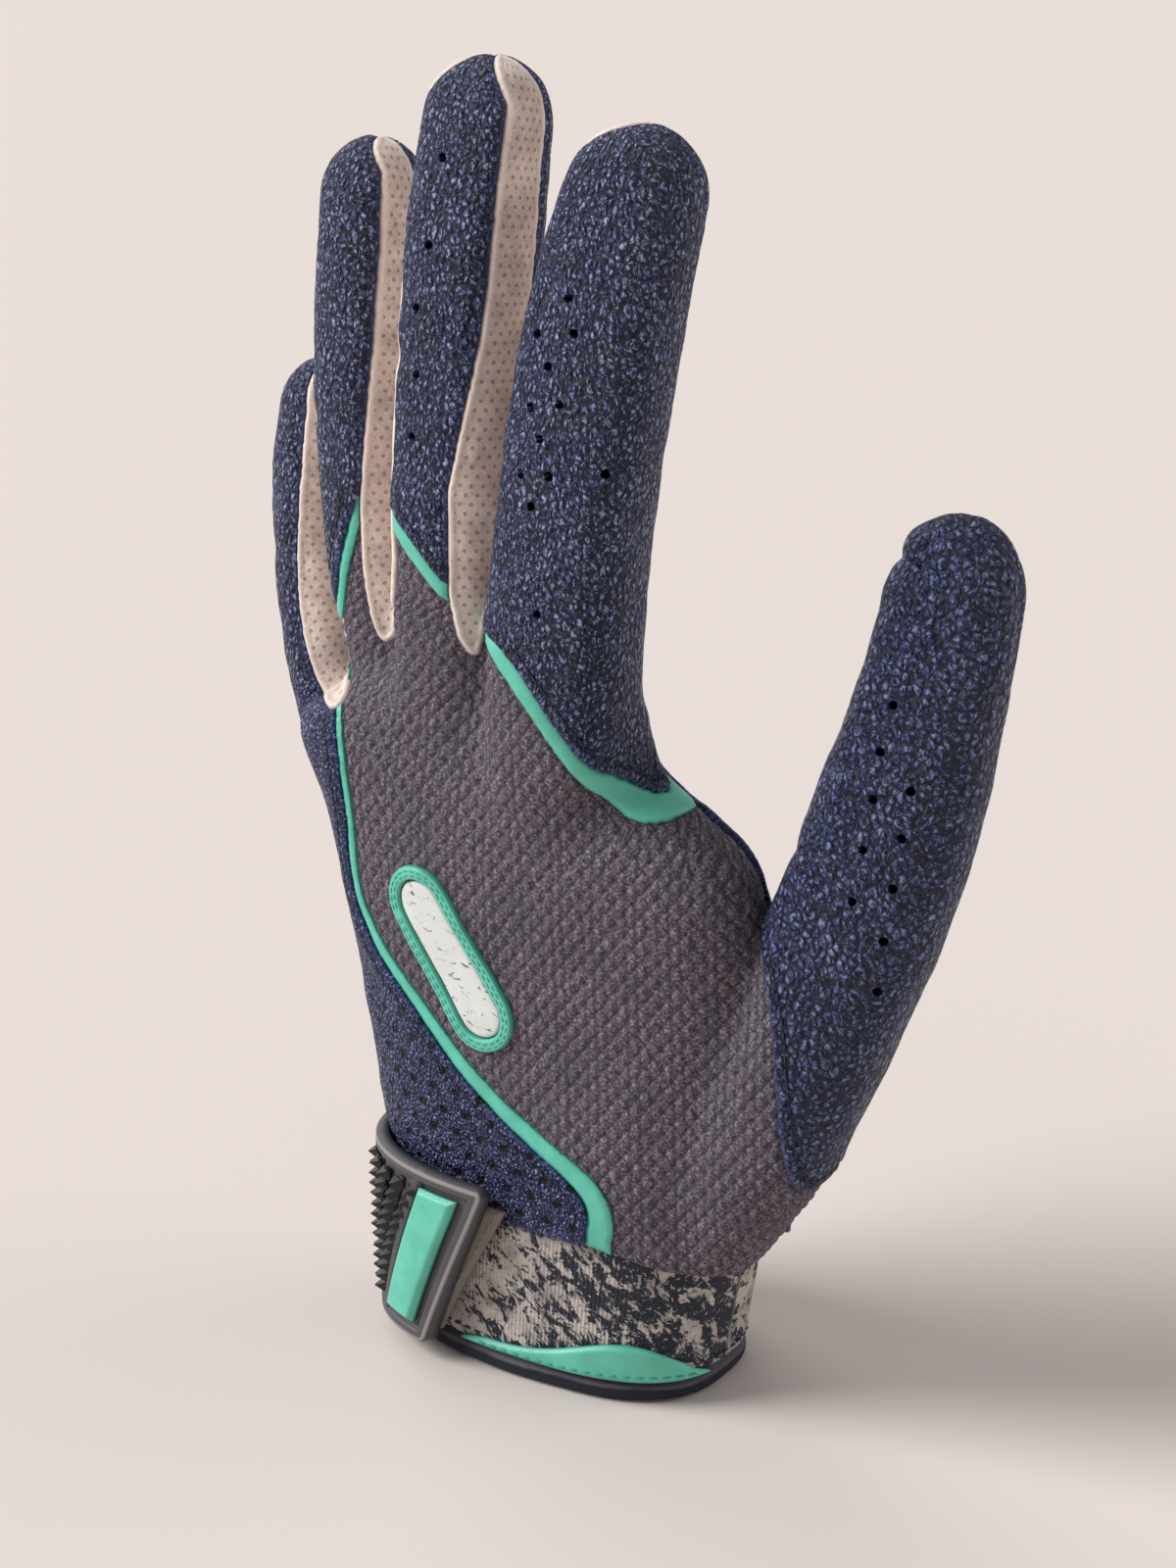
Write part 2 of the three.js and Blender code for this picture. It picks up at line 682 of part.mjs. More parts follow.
// A patch that hugs the cuff between two levels; start and end give its sides at each share
// of its height, and crest what its top edge gains at each share of its length
function cuffPatch({ start, end, low, high, inner, outer, crest = () => 0 }) {
  const columns = Math.ceil(Math.max(end(0) - start(0), end(1) - start(1)) / patchStep);
  const slant = Math.max(Math.abs(start(1) - start(0)), Math.abs(end(1) - end(0)));
  const rows = Math.max(1, Math.ceil(slant / patchStep));
  const points = [];
  for (const lift of [inner, outer]) {
    for (let j = 0; j <= rows; j++) {
      for (let i = 0; i <= columns; i++) {
        const v = j / rows;
        const top = high + crest(i / columns);
        points.push(onCuff(lerp(start(v), end(v), i / columns), lerp(low, top, v), lift));
      }
    }
  }
  const index = (side, j, i) => side * (rows + 1) * (columns + 1) + j * (columns + 1) + i;
  const triangles = [];
  const quad = (a, b, c, d) => triangles.push(a, b, c, a, c, d);
  for (let j = 0; j < rows; j++) {
    for (let i = 0; i < columns; i++) {
      quad(index(1, j, i), index(1, j, i + 1), index(1, j + 1, i + 1), index(1, j + 1, i));
      quad(index(0, j, i), index(0, j + 1, i), index(0, j + 1, i + 1), index(0, j, i + 1));
    }
    quad(index(0, j, 0), index(1, j, 0), index(1, j + 1, 0), index(0, j + 1, 0));
    quad(index(0, j, columns), index(0, j + 1, columns), index(1, j + 1, columns), index(1, j, columns));
  }
  for (let i = 0; i < columns; i++) {
    quad(index(0, 0, i), index(0, 0, i + 1), index(1, 0, i + 1), index(1, 0, i));
    quad(index(0, rows, i), index(1, rows, i), index(1, rows, i + 1), index(0, rows, i + 1));
  }
  return solid(points, triangles);
}

const notchShape = [
  [notchAcross - notchWidth / 2, -overrun], [notchAcross + notchWidth / 2, -overrun],
  [notchAcross + notchWidth / 2, hemHeight], [notchAcross + leather / 2, notchHeight],
  [notchAcross - leather / 2, notchHeight], [notchAcross - notchWidth / 2, hemHeight],
];
const palmSideOnly = seamSide(1);
const notch = backPrism(notchShape, overrun * 2).intersect(palmSideOnly);
const bandLevels = [[hemHeight + seamGap, -cuffSheet, 0], [cuffHeight, -cuffSheet, 0]];
const liningLift = -cuffSheet - seamGap;
const liningLevels = [
  [hemHeight + seamGap, liningLift - liningSheet, liningLift],
  [cuffHeight, liningLift - liningSheet, liningLift],
];
const hemLift = liningLift - liningSheet;
const hemLevels = [
  [0, hemLift, hemLift + hemSheet * 0.85], [hemHeight / 2, hemLift, hemLift + hemSheet * 1.08],
  [hemHeight, hemLift, hemLift + hemSheet * 0.95],
];
addMesh("cuff_band", cuffRing(bandLevels).subtract(notch), "print");
addMesh("cuff_lining", cuffRing(liningLevels).subtract(notch), "lining");
addMesh("hem_binding", cuffRing(hemLevels).subtract(notch), "lining");

// Hem piping on the back, whose top edge swells to the thumb side
const pipingLow = hemHeight + seamGap * 2;
addMesh("hem_piping", cuffPatch({
  start: () => pipingStart, end: () => pipingEnd, low: pipingLow, high: pipingLow + pipingHeight,
  inner: seamGap, outer: seamGap + pipingSheet,
  crest: (u) => flashHeight * Math.sin(Math.PI * u ** flashPeakShare) ** 2,
}), "teal");

// Strap stack: loop patch, hook patch, strap, rubber frame
const loopLift = seamGap;
const hookLift = loopLift + loopSheet + seamGap;
const strapLift = hookLift + hookThickness + seamGap;
const frameLift = strapLift + strapThickness + seamGap;
const spikeLift = frameLift + frameThickness + seamGap;
const strapLow = strapTop - strapHeight;
const loopLow = (cuffHeight + hemHeight - loopHeight) / 2;
addMesh("loop_patch", cuffPatch({
  start: () => hookStart - hookMargin, end: () => hookStart + hookLength + hookMargin,
  low: loopLow + hookMargin / 2, high: loopLow + loopHeight,
  inner: loopLift, outer: loopLift + loopSheet,
}), "lining");
addMesh("hook_patch", cuffPatch({
  start: () => hookStart, end: () => hookStart + hookLength,
  low: strapLow + hookMargin, high: strapTop - hookMargin,
  inner: hookLift, outer: hookLift + hookThickness,
}), "spike");
const strapBand = cuffPatch({
  start: () => strapRootAlong, end: () => strapHingeAlong - seamGap / 2, low: strapLow, high: strapTop,
  inner: strapLift, outer: strapLift + strapThickness,
});
const strapSeat = cuffPatch({
  start: () => strapRootAlong, end: () => strapRootAlong + strapSeatLength, low: strapLow, high: cuffHeight,
  inner: seamGap, outer: strapLift + strapThickness / 2,
});
addMesh("strap_root", strapBand.add(strapSeat), "leather");
addMesh("strap_tab", cuffPatch({
  start: () => strapHingeAlong + seamGap / 2, end: (v) => lerp(strapEndBottom, strapEndTop, v),
  low: strapLow, high: strapTop, inner: strapLift, outer: strapLift + strapThickness,
}), "suede");

// Rubber frame on the strap: a base sheet with a raised border and a raised bar between spikes and plate
const frameEnd = (v) => lerp(frameEndBottom, frameEndTop, v);
const framePatch = (start, end, low, high, outer) => cuffPatch({
  start, end, low, high, inner: frameLift, outer: frameLift + outer,
});
const rimOuter = frameThickness + rimRise;
const frameSpan = frameTop - frameBottom;
const rimShare = frameRim / frameSpan;
const lowEnd = (v) => frameEnd(v * rimShare);
const highEnd = (v) => frameEnd(1 - rimShare * (1 - v));
const plateEnd = (v) => frameEnd(v) - plateMargin;
const plateStart = (v) => plateEnd(v) - plateWidth;
const barStart = (v) => plateStart(v) - barWidth - seamGap;
addMesh("tab_frame", joined([
  framePatch(() => frameStart, frameEnd, frameBottom, frameTop, frameThickness),
  framePatch(() => frameStart, () => frameStart + frameRim, frameBottom, frameTop, rimOuter),
  framePatch((v) => frameEnd(v) - frameRim, frameEnd, frameBottom, frameTop, rimOuter),
  framePatch(() => frameStart, lowEnd, frameBottom, frameBottom + frameRim, rimOuter),
  framePatch(() => frameStart, highEnd, frameTop - frameRim, frameTop, rimOuter),
  framePatch(barStart, (v) => plateStart(v) - seamGap, frameBottom, frameTop, rimOuter),
]), "rubber");

const plateLow = frameBottom + frameRim * 1.6;
const plateHigh = frameTop - frameRim * 1.6;
const plateSlant = (edge) => (v) => edge((lerp(plateLow, plateHigh, v) - frameBottom) / frameSpan);
addMesh("tab_plate", cuffPatch({
  start: plateSlant(plateStart), end: plateSlant(plateEnd), low: plateLow, high: plateHigh,
  inner: spikeLift, outer: spikeLift + plateRise,
}), "teal");

function pyramid(along, z, size, lift, rise) {
  const corners = [[-1, -1], [1, -1], [1, 1], [-1, 1]];
  const base = corners.map(([a, b]) => onCuff(along + (a * size) / 2, z + (b * size) / 2, lift));
  const tip = onCuff(along, z, lift + rise);
  return solid([...base, tip], [0, 2, 1, 0, 3, 2, 0, 1, 4, 1, 2, 4, 2, 3, 4, 3, 0, 4]);
}

for (let row = 0; row < spikeRows; row++) {
  const alongAt = (z) => spikeFieldStart + row * spikePitch + (z - frameBottom) * spikeFieldLean;
  const bedHalf = (v) => (spikeBed * lerp(bedEndShare, 1, Math.sin(Math.PI * v))) / 2;
  const bedSide = (side) => (v) => alongAt(lerp(plateLow, plateHigh, v)) + side * bedHalf(v);
  const bed = cuffPatch({
    start: bedSide(-1), end: bedSide(1),
    low: plateLow, high: plateHigh, inner: spikeLift, outer: spikeLift + loopSheet,
  });
  const spikes = [];
  for (let k = 0; k < spikesInRow; k++) {
    const z = lerp(plateLow, plateHigh, (k + 0.5) / spikesInRow);
    spikes.push(pyramid(alongAt(z), z, spikeSize, spikeLift + loopSheet / 2, spikeRise));
  }
  addMesh("spike_row_" + (row + 1), joined([bed, ...spikes]), "spike");
}

// Pull tab: a folded leather loop sewn in the side seam above the cuff
const pullTabRow = palmRow(pullTabRowShare);
const tabSide = pullTabRow.across - pullTabRow.halfWidth + pullTabReach / 2;
const tabSection = (z) => [[-1, 0], [1, 0], [1, 1], [-1, 1]].map(([a, b]) =>
  vec(tabSide + a * pullTabReach, pullTabPalmar + b * pullTabSheet, z));
const pullTab = loft([pullTabRow.up, pullTabRow.up + pullTabHeight].map(tabSection));
addMesh("pull_tab", pullTab.subtract(handSolid(seamGap)), "leather");

export default glove;
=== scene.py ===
import math

import bmesh
import bpy
import numpy as np
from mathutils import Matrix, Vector, noise
from mathutils.bvhtree import BVHTree
from mathutils.kdtree import KDTree


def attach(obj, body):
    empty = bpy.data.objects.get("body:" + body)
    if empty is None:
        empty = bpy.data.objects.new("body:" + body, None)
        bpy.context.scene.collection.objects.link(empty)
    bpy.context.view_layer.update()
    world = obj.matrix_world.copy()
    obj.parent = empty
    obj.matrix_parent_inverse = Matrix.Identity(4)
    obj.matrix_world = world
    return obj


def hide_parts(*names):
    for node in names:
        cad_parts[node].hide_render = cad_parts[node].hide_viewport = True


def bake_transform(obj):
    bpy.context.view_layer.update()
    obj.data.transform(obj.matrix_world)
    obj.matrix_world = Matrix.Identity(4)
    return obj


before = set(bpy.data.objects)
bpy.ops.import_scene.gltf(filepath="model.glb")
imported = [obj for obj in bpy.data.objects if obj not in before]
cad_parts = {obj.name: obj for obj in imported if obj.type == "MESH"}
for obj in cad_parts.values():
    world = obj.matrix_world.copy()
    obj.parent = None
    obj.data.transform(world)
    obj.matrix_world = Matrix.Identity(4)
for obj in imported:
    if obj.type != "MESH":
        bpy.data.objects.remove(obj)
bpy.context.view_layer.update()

# A left-hand batting glove. Lengths are millimetres until a mesh is made, and angles are degrees.
# +Z runs to the fingertips, +X to the thumb, and -Y out of the back of the hand.
MM = 0.001
FAR = 99.0

# Hand form
ROUND_SHARE = 2.6
CUFF_HEIGHT, CUFF_WIDTH, CUFF_DEPTH = 33.0, 66.0, 41.5
CUFF_TOP_WIDTH, CUFF_TOP_DEPTH, CUFF_TOP_SHIFT = 72.0, 45.0, 2.6
PALM_HEIGHT, PALM_WIDTH, PALM_DEPTH = 101.0, 90.0, 38.0
# Rows of the palm: height, shift across, shift to the back, width and depth, as shares of its sizes
PALM_ROW_SHARES = np.array([
    [0, 0.04, 0, 0.85, 1.2],
    [0.12, 0.028, 0.05, 0.905, 1.12],
    [0.29, 0.036, 0.13, 0.963, 0.95],
    [0.47, 0.024, 0.2, 0.988, 0.85],
    [0.64, 0.004, 0.26, 1.006, 0.8],
    [0.74, -0.02, 0.29, 1.01, 0.75],
    [0.82, -0.105, 0.3, 0.938, 0.68],
    [0.88, -0.16, 0.31, 0.848, 0.6],
    [0.94, -0.12, 0.32, 0.725, 0.52],
    [1, -0.06, 0.34, 0.624, 0.42],
])
# How far the palm's skin runs on below the cuff's top before it is cut
PALM_FOOT = 8.0
INDEX_WIDTH_SHARES = [0.94, 1, 1.01, 0.98, 1, 0.95, 0.82]
FINGER_WIDTH_SHARES = [0.9, 0.96, 1, 1.01, 0.99, 0.96, 0.9]
FINGER_DEPTH_SHARES = [0.98, 1.02, 1.02, 0.98, 0.94, 0.88, 0.8]
LITTLE_WIDTH_SHARES = [0.3, 0.72, 0.97, 1.02, 1.02, 0.99, 0.95, 0.86]
LITTLE_DEPTH_SHARES = [0.5, 0.85, 1.02, 1.02, 1, 0.95, 0.89, 0.8]
THUMB_WIDTH_SHARES = [0.36, 0.71, 0.88, 0.91, 0.93, 0.95, 0.94, 0.84, 0.76, 0.65]
THUMB_DEPTH_SHARES = [0.5, 0.9, 1.15, 1.15, 1.08, 1, 0.92, 0.84, 0.76, 0.62]


def palm_place(across, back, up):
    """A place from shares of the palm."""
    return PALM_WIDTH * across, -PALM_DEPTH * back, CUFF_HEIGHT + PALM_HEIGHT * up


DIGITS = {
    "index": dict(root=palm_place(0.069, 0.374, 0.678), length=137.3, width=25.6, depth=21.5, lean=3.1,
                  sway=6.8, tilt=-6, curl=22, roll=3, tip=12, widths=INDEX_WIDTH_SHARES),
    "middle": dict(root=palm_place(-0.196, 0.305, 0.743), length=138.4, width=22.7, depth=20, lean=2.8,
                   sway=-2.6, tilt=-5, curl=20, roll=-2, tip=11),
    "ring": dict(root=palm_place(-0.336, 0.087, 0.717), length=123.6, width=17.7, depth=18.8, lean=-12.1,
                 sway=10.1, tilt=-5, curl=20, roll=-10, tip=10),
    "little": dict(root=palm_place(-0.41, 0.068, 0.537), length=101.7, width=15, depth=16, lean=-35.6,
                   sway=40.1, tilt=4, curl=8, roll=-22, tip=9, widths=LITTLE_WIDTH_SHARES,
                   depths=LITTLE_DEPTH_SHARES),
    "thumb": dict(root=palm_place(0.307, 0.168, -0.131), length=163.4, width=29.4, depth=22, lean=26.1,
                  sway=-25.2, sway_power=1.8, tilt=0, curl=13, roll=6, tip=12, widths=THUMB_WIDTH_SHARES,
                  depths=THUMB_DEPTH_SHARES),
}
CURL_POWER = 1.5
LINE_STEPS = 120
# How full a fingertip is, and how much of its last quarter turn the rings cover
TIP_POWER, TIP_COVER = 2.2, 0.985


def superellipse(angle, half_width, half_depth):
    c, s = np.cos(angle), np.sin(angle)
    power = 2 / ROUND_SHARE
    return half_width * np.sign(c) * np.abs(c) ** power, half_depth * np.sign(s) * np.abs(s) ** power


def smooth_column(shares, t):
    """A cubic through evenly spaced shares, at t from 0 to 1."""
    shares = np.asarray(shares, float)
    padded = np.concatenate([[2 * shares[0] - shares[1]], shares, [2 * shares[-1] - shares[-2]]])
    place = np.clip(t, 0, 1) * (len(shares) - 1)
    low = np.clip(np.floor(place).astype(int), 0, len(shares) - 2)
    k = place - low
    a, b, c, d = (padded[low + i] for i in range(4))
    return b + 0.5 * k * (c - a + k * (2 * a - 5 * b + 4 * c - d + k * (3 * (b - c) + d - a)))


class Digit:
    """A bone line that leans and curls, with frames along it."""

    def __init__(self, root, length, width, depth, lean, sway, tilt, curl, roll, tip,
                 widths=FINGER_WIDTH_SHARES, depths=FINGER_DEPTH_SHARES, sway_power=1.0):
        self.length, self.width, self.depth, self.tip = length, width, depth, tip
        self.widths, self.depths = widths, depths
        t = np.linspace(0, 1, LINE_STEPS + 1)
        lean_now = np.radians(lean + sway * t ** sway_power)
        tilt_now = np.radians(tilt + curl * t ** CURL_POWER)
        self.along = np.stack([np.sin(lean_now) * np.cos(tilt_now), np.sin(tilt_now),
                               np.cos(lean_now) * np.cos(tilt_now)], 1)
        steps = np.concatenate([[[0, 0, 0]], self.along[:-1] * length / LINE_STEPS])
        self.place = np.array(root, float) + np.cumsum(steps, 0)
        radial = np.array([math.cos(math.radians(roll)), math.sin(math.radians(roll)), 0.0])
        across = radial - self.along * (self.along @ radial)[:, None]
        self.radial = across / np.linalg.norm(across, axis=1)[:, None]
        self.palmar = np.cross(self.along, self.radial)

    def at(self, t):
        """Place and frame at each share t of the length."""
        t = np.atleast_1d(np.asarray(t, float))
        i = np.clip(np.round(t * LINE_STEPS).astype(int), 0, LINE_STEPS)
        rest = (t * LINE_STEPS - i)[:, None] * self.length / LINE_STEPS
        return self.place[i] + self.along[i] * rest, self.along[i], self.radial[i], self.palmar[i]

    def half_sizes(self, t):
        half_width = self.width / 2 * smooth_column(self.widths, t)
        return half_width, self.depth / 2 * smooth_column(self.depths, t)

    def surface(self, t, angle):
        """The point of the plain form at share t and angle in radians from thumb side to palm."""
        t, angle = np.broadcast_arrays(np.atleast_1d(t).astype(float), angle)
        tip_share = self.tip / self.length
        round_off = np.sqrt(1 - np.clip((t - 1 + tip_share) / tip_share, 0, 1) ** TIP_POWER)
        half_width, half_depth = self.half_sizes(t)
        x, y = superellipse(angle, half_width * round_off, half_depth * round_off)
        place, _, radial, palmar = self.at(t)
        return place + radial * x[:, None] + palmar * y[:, None]

    def local(self, points):
        """For each point: share along the bone, angle round it in degrees and distance from it."""
        best = np.full(len(points), 1e9)
        index = np.zeros(len(points), int)
        for i in range(0, LINE_STEPS + 1):
            d = ((points - self.place[i]) ** 2).sum(1)
            closer = d < best
            best[closer] = d[closer]
            index[closer] = i
        offset = points - self.place[index]
        along = (offset * self.along[index]).sum(1)
        x = (offset * self.radial[index]).sum(1)
        y = (offset * self.palmar[index]).sum(1)
        t = index / LINE_STEPS + along / self.length
        beyond = np.where(index == LINE_STEPS, along, 0)
        return t, np.degrees(np.arctan2(y, x)), np.sqrt(x * x + y * y + beyond ** 2)


digits = {name: Digit(**sizes) for name, sizes in DIGITS.items()}


# Mesh helpers
def grid_faces(rows, around, offset=0):
    i, k = np.meshgrid(np.arange(rows - 1), np.arange(around), indexing="ij")
    a = offset + i * around + k
    b = offset + i * around + (k + 1) % around
    return np.stack([a, b, b + around, a + around], -1).reshape(-1, 4)


def lofted(rings, offset):
    """Faces of a closed loft through rings of equal count, with a fan at both ends."""
    rows, around = rings.shape[:2]
    points = np.concatenate([rings.reshape(-1, 3), [rings[0].mean(0)], [rings[-1].mean(0)]])
    faces = [list(f) for f in grid_faces(rows, around, offset)]
    first, last = offset + rows * around, offset + rows * around + 1
    top = offset + (rows - 1) * around
    for k in range(around):
        n = (k + 1) % around
        faces.append([first, offset + n, offset + k])
        faces.append([last, top + k, top + n])
    return points, faces


def mesh_object(name, points, faces, smooth=True):
    mesh = bpy.data.meshes.new(name)
    mesh.from_pydata((np.asarray(points) * MM).tolist(), [], [list(map(int, f)) for f in faces])
    mesh.update()
    if smooth:
        mesh.shade_smooth()
    obj = bpy.data.objects.new(name, mesh)
    bpy.context.scene.collection.objects.link(obj)
    return obj


def mesh_arrays(mesh):
    points = np.empty(len(mesh.vertices) * 3, np.float32)
    mesh.vertices.foreach_get("co", points)
    mesh.calc_loop_triangles()
    triangles = np.empty(len(mesh.loop_triangles) * 3, np.int32)
    mesh.loop_triangles.foreach_get("vertices", triangles)
    return points.reshape(-1, 3).astype(float) / MM, triangles.reshape(-1, 3)


def sides_of(triangles):
    """The three sides of every triangle, each with its lower vertex first."""
    return np.sort(np.concatenate([triangles[:, [0, 1]], triangles[:, [1, 2]], triangles[:, [2, 0]]]), axis=1)


def vertex_normals(points, triangles):
    p = points[triangles]
    face = np.cross(p[:, 1] - p[:, 0], p[:, 2] - p[:, 0])
    total = np.zeros_like(points)
    for k in range(3):
        np.add.at(total, triangles[:, k], face)
    return total / np.maximum(np.linalg.norm(total, axis=1), 1e-9)[:, None]


def bell(distance, middle, width):
    """One at a middle distance, fading out on both sides of it."""
    return np.exp(-((distance - middle) / width) ** 2)


def ease(x):
    x = np.clip(x, 0, 1)
    return x * x * (3 - 2 * x)


def palm_rings(around=120, rows=70):
    t = np.linspace(0, 1, rows)
    height, across, back, width, depth = (smooth_column(PALM_ROW_SHARES[:, k], t) for k in range(5))
    angle = np.linspace(0, 2 * np.pi, around, endpoint=False)
    x, y = superellipse(angle[None, :], (PALM_WIDTH * width / 2)[:, None], (PALM_DEPTH * depth / 2)[:, None])
    z = np.repeat((CUFF_HEIGHT + PALM_HEIGHT * height)[:, None], around, 1)
    rings = np.stack([x + (PALM_WIDTH * across)[:, None], y - (PALM_DEPTH * back)[:, None], z], -1)
    foot = rings[:1].copy()
    foot[..., 2] = CUFF_HEIGHT - PALM_FOOT
    return np.concatenate([foot, rings])


def digit_rings(digit, around=56, rows=70, tip_rows=14):
    tip_share = digit.tip / digit.length
    tip_turn = np.linspace(0, np.pi / 2, tip_rows + 1)[1:] * TIP_COVER
    t = np.concatenate([np.linspace(0, 1 - tip_share, rows), 1 - tip_share + tip_share * np.sin(tip_turn)])
    angle = np.linspace(0, 2 * np.pi, around, endpoint=False)
    return np.stack([digit.surface(np.full(around, v), angle) for v in t])


# Webs between neighbouring fingers: place across, to the back and up, and half sizes
WEBS = {
    ("index", "middle"): ((-4, -12, 138), (6, 8.5, 15)),
    ("middle", "ring"): ((-26, -8, 139), (6, 8.5, 15)),
    ("ring", "little"): ((-43, -3, 118), (6, 7.5, 15)),
}


def web_rings(centre, sizes, around=32, rows=16):
    polar = np.linspace(0.02, np.pi - 0.02, rows)
    angle = np.linspace(0, 2 * np.pi, around, endpoint=False)
    towards = lambda p, a: [math.sin(p) * math.cos(a), math.sin(p) * math.sin(a), -math.cos(p)]
    return np.array([[np.array(centre) + np.array(sizes) * towards(p, a) for a in angle] for p in polar])


VOXEL = 0.95
# Rounds of smoothing, all over and more at the knuckles: below a height and beside the thumb
SMOOTHING, KNUCKLE_SMOOTHING = 14, 26
KNUCKLE_TOP, KNUCKLE_FADE, KNUCKLE_SIDE, KNUCKLE_SIDE_FADE = 168, 24, 54, 10
UNEVEN_SIZE, UNEVEN_RISE = 11.0, 0.32


def hand_surface():
    """One closed skin round palm, digits and webs, evenly meshed and smoothed."""
    points, faces, count = [], [], 0
    forms = [palm_rings()] + [digit_rings(d) for d in digits.values()]
    for r in forms + [web_rings(*w) for w in WEBS.values()]:
        p, f = lofted(r, count)
        points.append(p)
        faces += f
        count += len(p)
    raw = mesh_object("raw_hand", np.concatenate(points), faces)
    remesh = raw.modifiers.new("remesh", "REMESH")
    remesh.mode = "VOXEL"
    remesh.voxel_size = VOXEL * MM
    skin = raw.evaluated_get(bpy.context.evaluated_depsgraph_get()).to_mesh()
    points, triangles = mesh_arrays(skin)
    bpy.data.objects.remove(raw)
    edges = np.unique(sides_of(triangles), axis=0)
    degree = np.bincount(edges.ravel(), minlength=len(points))[:, None]
    low = ease((KNUCKLE_TOP - points[:, 2]) / KNUCKLE_FADE)
    knuckles = low * ease((KNUCKLE_SIDE - points[:, 0]) / KNUCKLE_SIDE_FADE)
    for step in range(SMOOTHING + KNUCKLE_SMOOTHING):
        ends = points[edges]
        total = np.stack([np.bincount(edges[:, 0], ends[:, 1, k], len(points))
                          + np.bincount(edges[:, 1], ends[:, 0, k], len(points)) for k in range(3)], 1)
        share = (0.6 if step % 2 == 0 else -0.5) if step < SMOOTHING else 0.5 * knuckles[:, None]
        points = points + (total / degree - points) * share
    normals = vertex_normals(points, triangles)
    uneven = np.array([noise.fractal(Vector(p) / UNEVEN_SIZE, 1.0, 2.0, 3) for p in points])
    points = points + normals * (UNEVEN_RISE * uneven)[:, None]
    return fold_leather(points, normals), triangles


# Folds in the leather: digit, share along, angle, half width in degrees, depth and half length in millimetres
FOLDS = [
    ("thumb", 0.948, 225, 74, -1.1, 1.6), ("thumb", 0.972, 215, 64, 0.7, 2.4),
    ("thumb", 0.915, 225, 60, 0.4, 2.6), ("thumb", 0.60, 180, 40, -0.6, 2.4),
    ("index", 0.915, 300, 34, -0.4, 1.2), ("index", 0.60, 330, 60, -0.5, 2.6),
    ("index", 0.56, 200, 50, -0.5, 2.2), ("middle", 0.62, 230, 50, -0.5, 2.2),
    ("ring", 0.60, 235, 50, -0.45, 2.0), ("little", 0.66, 220, 50, -0.4, 2.0),
]
FOLD_BOW, FOLD_NEAR = 1.6, 0.75


def fold_leather(points, normals):
    for name, share, angle, spread, depth, reach in FOLDS:
        digit = digits[name]
        t, around, distance = digit.local(points)
        turn = (around - angle + 180) % 360 - 180
        bow = FOLD_BOW * (turn / spread) ** 2
        gap = (t - share) * digit.length + bow
        near = np.clip(1 - (turn / spread) ** 2, 0, 1) * bell(gap, 0, reach)
        near *= distance < digit.width * FOLD_NEAR
        points = points + normals * (depth * near)[:, None]
    return points


# Seams on the back of the hand, as outlines of (across, up); each closes far outside the piece that it bounds
def rounded(points, times=2):
    """An open line with its corners cut smooth."""
    points = np.asarray(points, float)
    for _ in range(times):
        a, b = points[:-1], points[1:]
        inner = np.stack([0.75 * a + 0.25 * b, 0.25 * a + 0.75 * b], 1).reshape(-1, 2)
        points = np.concatenate([points[:1], inner, points[-1:]])
    return points


def outline(curve, closing=()):
    return np.concatenate([rounded(curve)] + ([np.asarray(closing, float)] if len(closing) else []))


INDEX_LEATHER = outline(
    [(-14, 150.2), (-4, 149.6), (1, 149), (4.3, 147.6), (7.6, 144.7), (10.4, 140.9), (13.2, 136.9),
     (17, 130.4), (20.3, 124.8), (23.7, 121), (26.9, 119.4), (30, 118.6), (60, 118)], [(60, 300), (-14, 300)])
MIDDLE_LEATHER = outline(
    [(-60, 171), (-26, 169.5), (-22.2, 166.3), (-16.5, 161.2), (-10.5, 154.8), (-5, 150), (20, 148)],
    [(20, 300), (-60, 300)])
RING_LEATHER = outline(
    [(-30, 176), (-36.2, 169.5), (-38.1, 164.8), (-40.4, 158), (-43.2, 148), (-45.5, 142), (-48, 137),
     (-60, 130), (-90, 128)], [(-90, 300), (-30, 300)])
ULNAR_LEATHER_LINE = [
    (-62, 152), (-50, 135), (-41.6, 129.5), (-38.7, 122.6), (-37.3, 116), (-36.6, 108), (-36.8, 100),
    (-36.9, 92.4), (-34.4, 84.6), (-28.4, 77.6), (-20.6, 70.4), (-9.4, 59.8), (4.2, 51), (12.2, 46.8),
    (16.8, 43.2), (18.2, 39.4), (17.2, 34), (16, 22)]
ULNAR_LEATHER = outline(ULNAR_LEATHER_LINE, [(-90, 22), (-90, 300), (-62, 300)])
THUMB_LEATHER = outline(
    [(46.5, 300), (46.5, 112), (47.2, 104), (49.2, 98), (51.6, 92.5), (53.2, 88), (54.4, 79.7), (55.5, 68.8),
     (55.8, 60), (56.2, 54), (57.6, 49.8), (62, 48.6), (95, 48.5)], [(95, 300)])
# Strips of trim beside the leather; their upper sides reach under it
INDEX_TRIM = outline(
    [(-6.4, 151), (1, 152), (8, 148), (16, 136), (22, 126), (27, 121.4), (31, 120.6), (32, 118.6),
     (31, 116.6), (27.4, 116.3), (23.3, 117.6), (19.2, 121.2), (15.8, 127.4), (10.6, 134.9),
     (5.6, 141.2), (1.6, 144.9), (-2, 146.6), (-6, 147.2), (-6.4, 151)])
MIDDLE_TRIM = outline(
    [(-27, 169), (-21, 169), (-14, 162.5), (-9.6, 156.6), (-10, 152.6), (-12, 152.6), (-17.6, 157.8),
     (-21.4, 161.2), (-25, 164.8), (-27, 169)])
RING_TRIM = outline(
    [(-38, 170), (-41, 164), (-43, 155), (-46, 145), (-45.6, 140.4), (-43.4, 140.6), (-41.4, 147.4),
     (-38.6, 157.4), (-36, 164.8), (-35.4, 169), (-38, 170)])
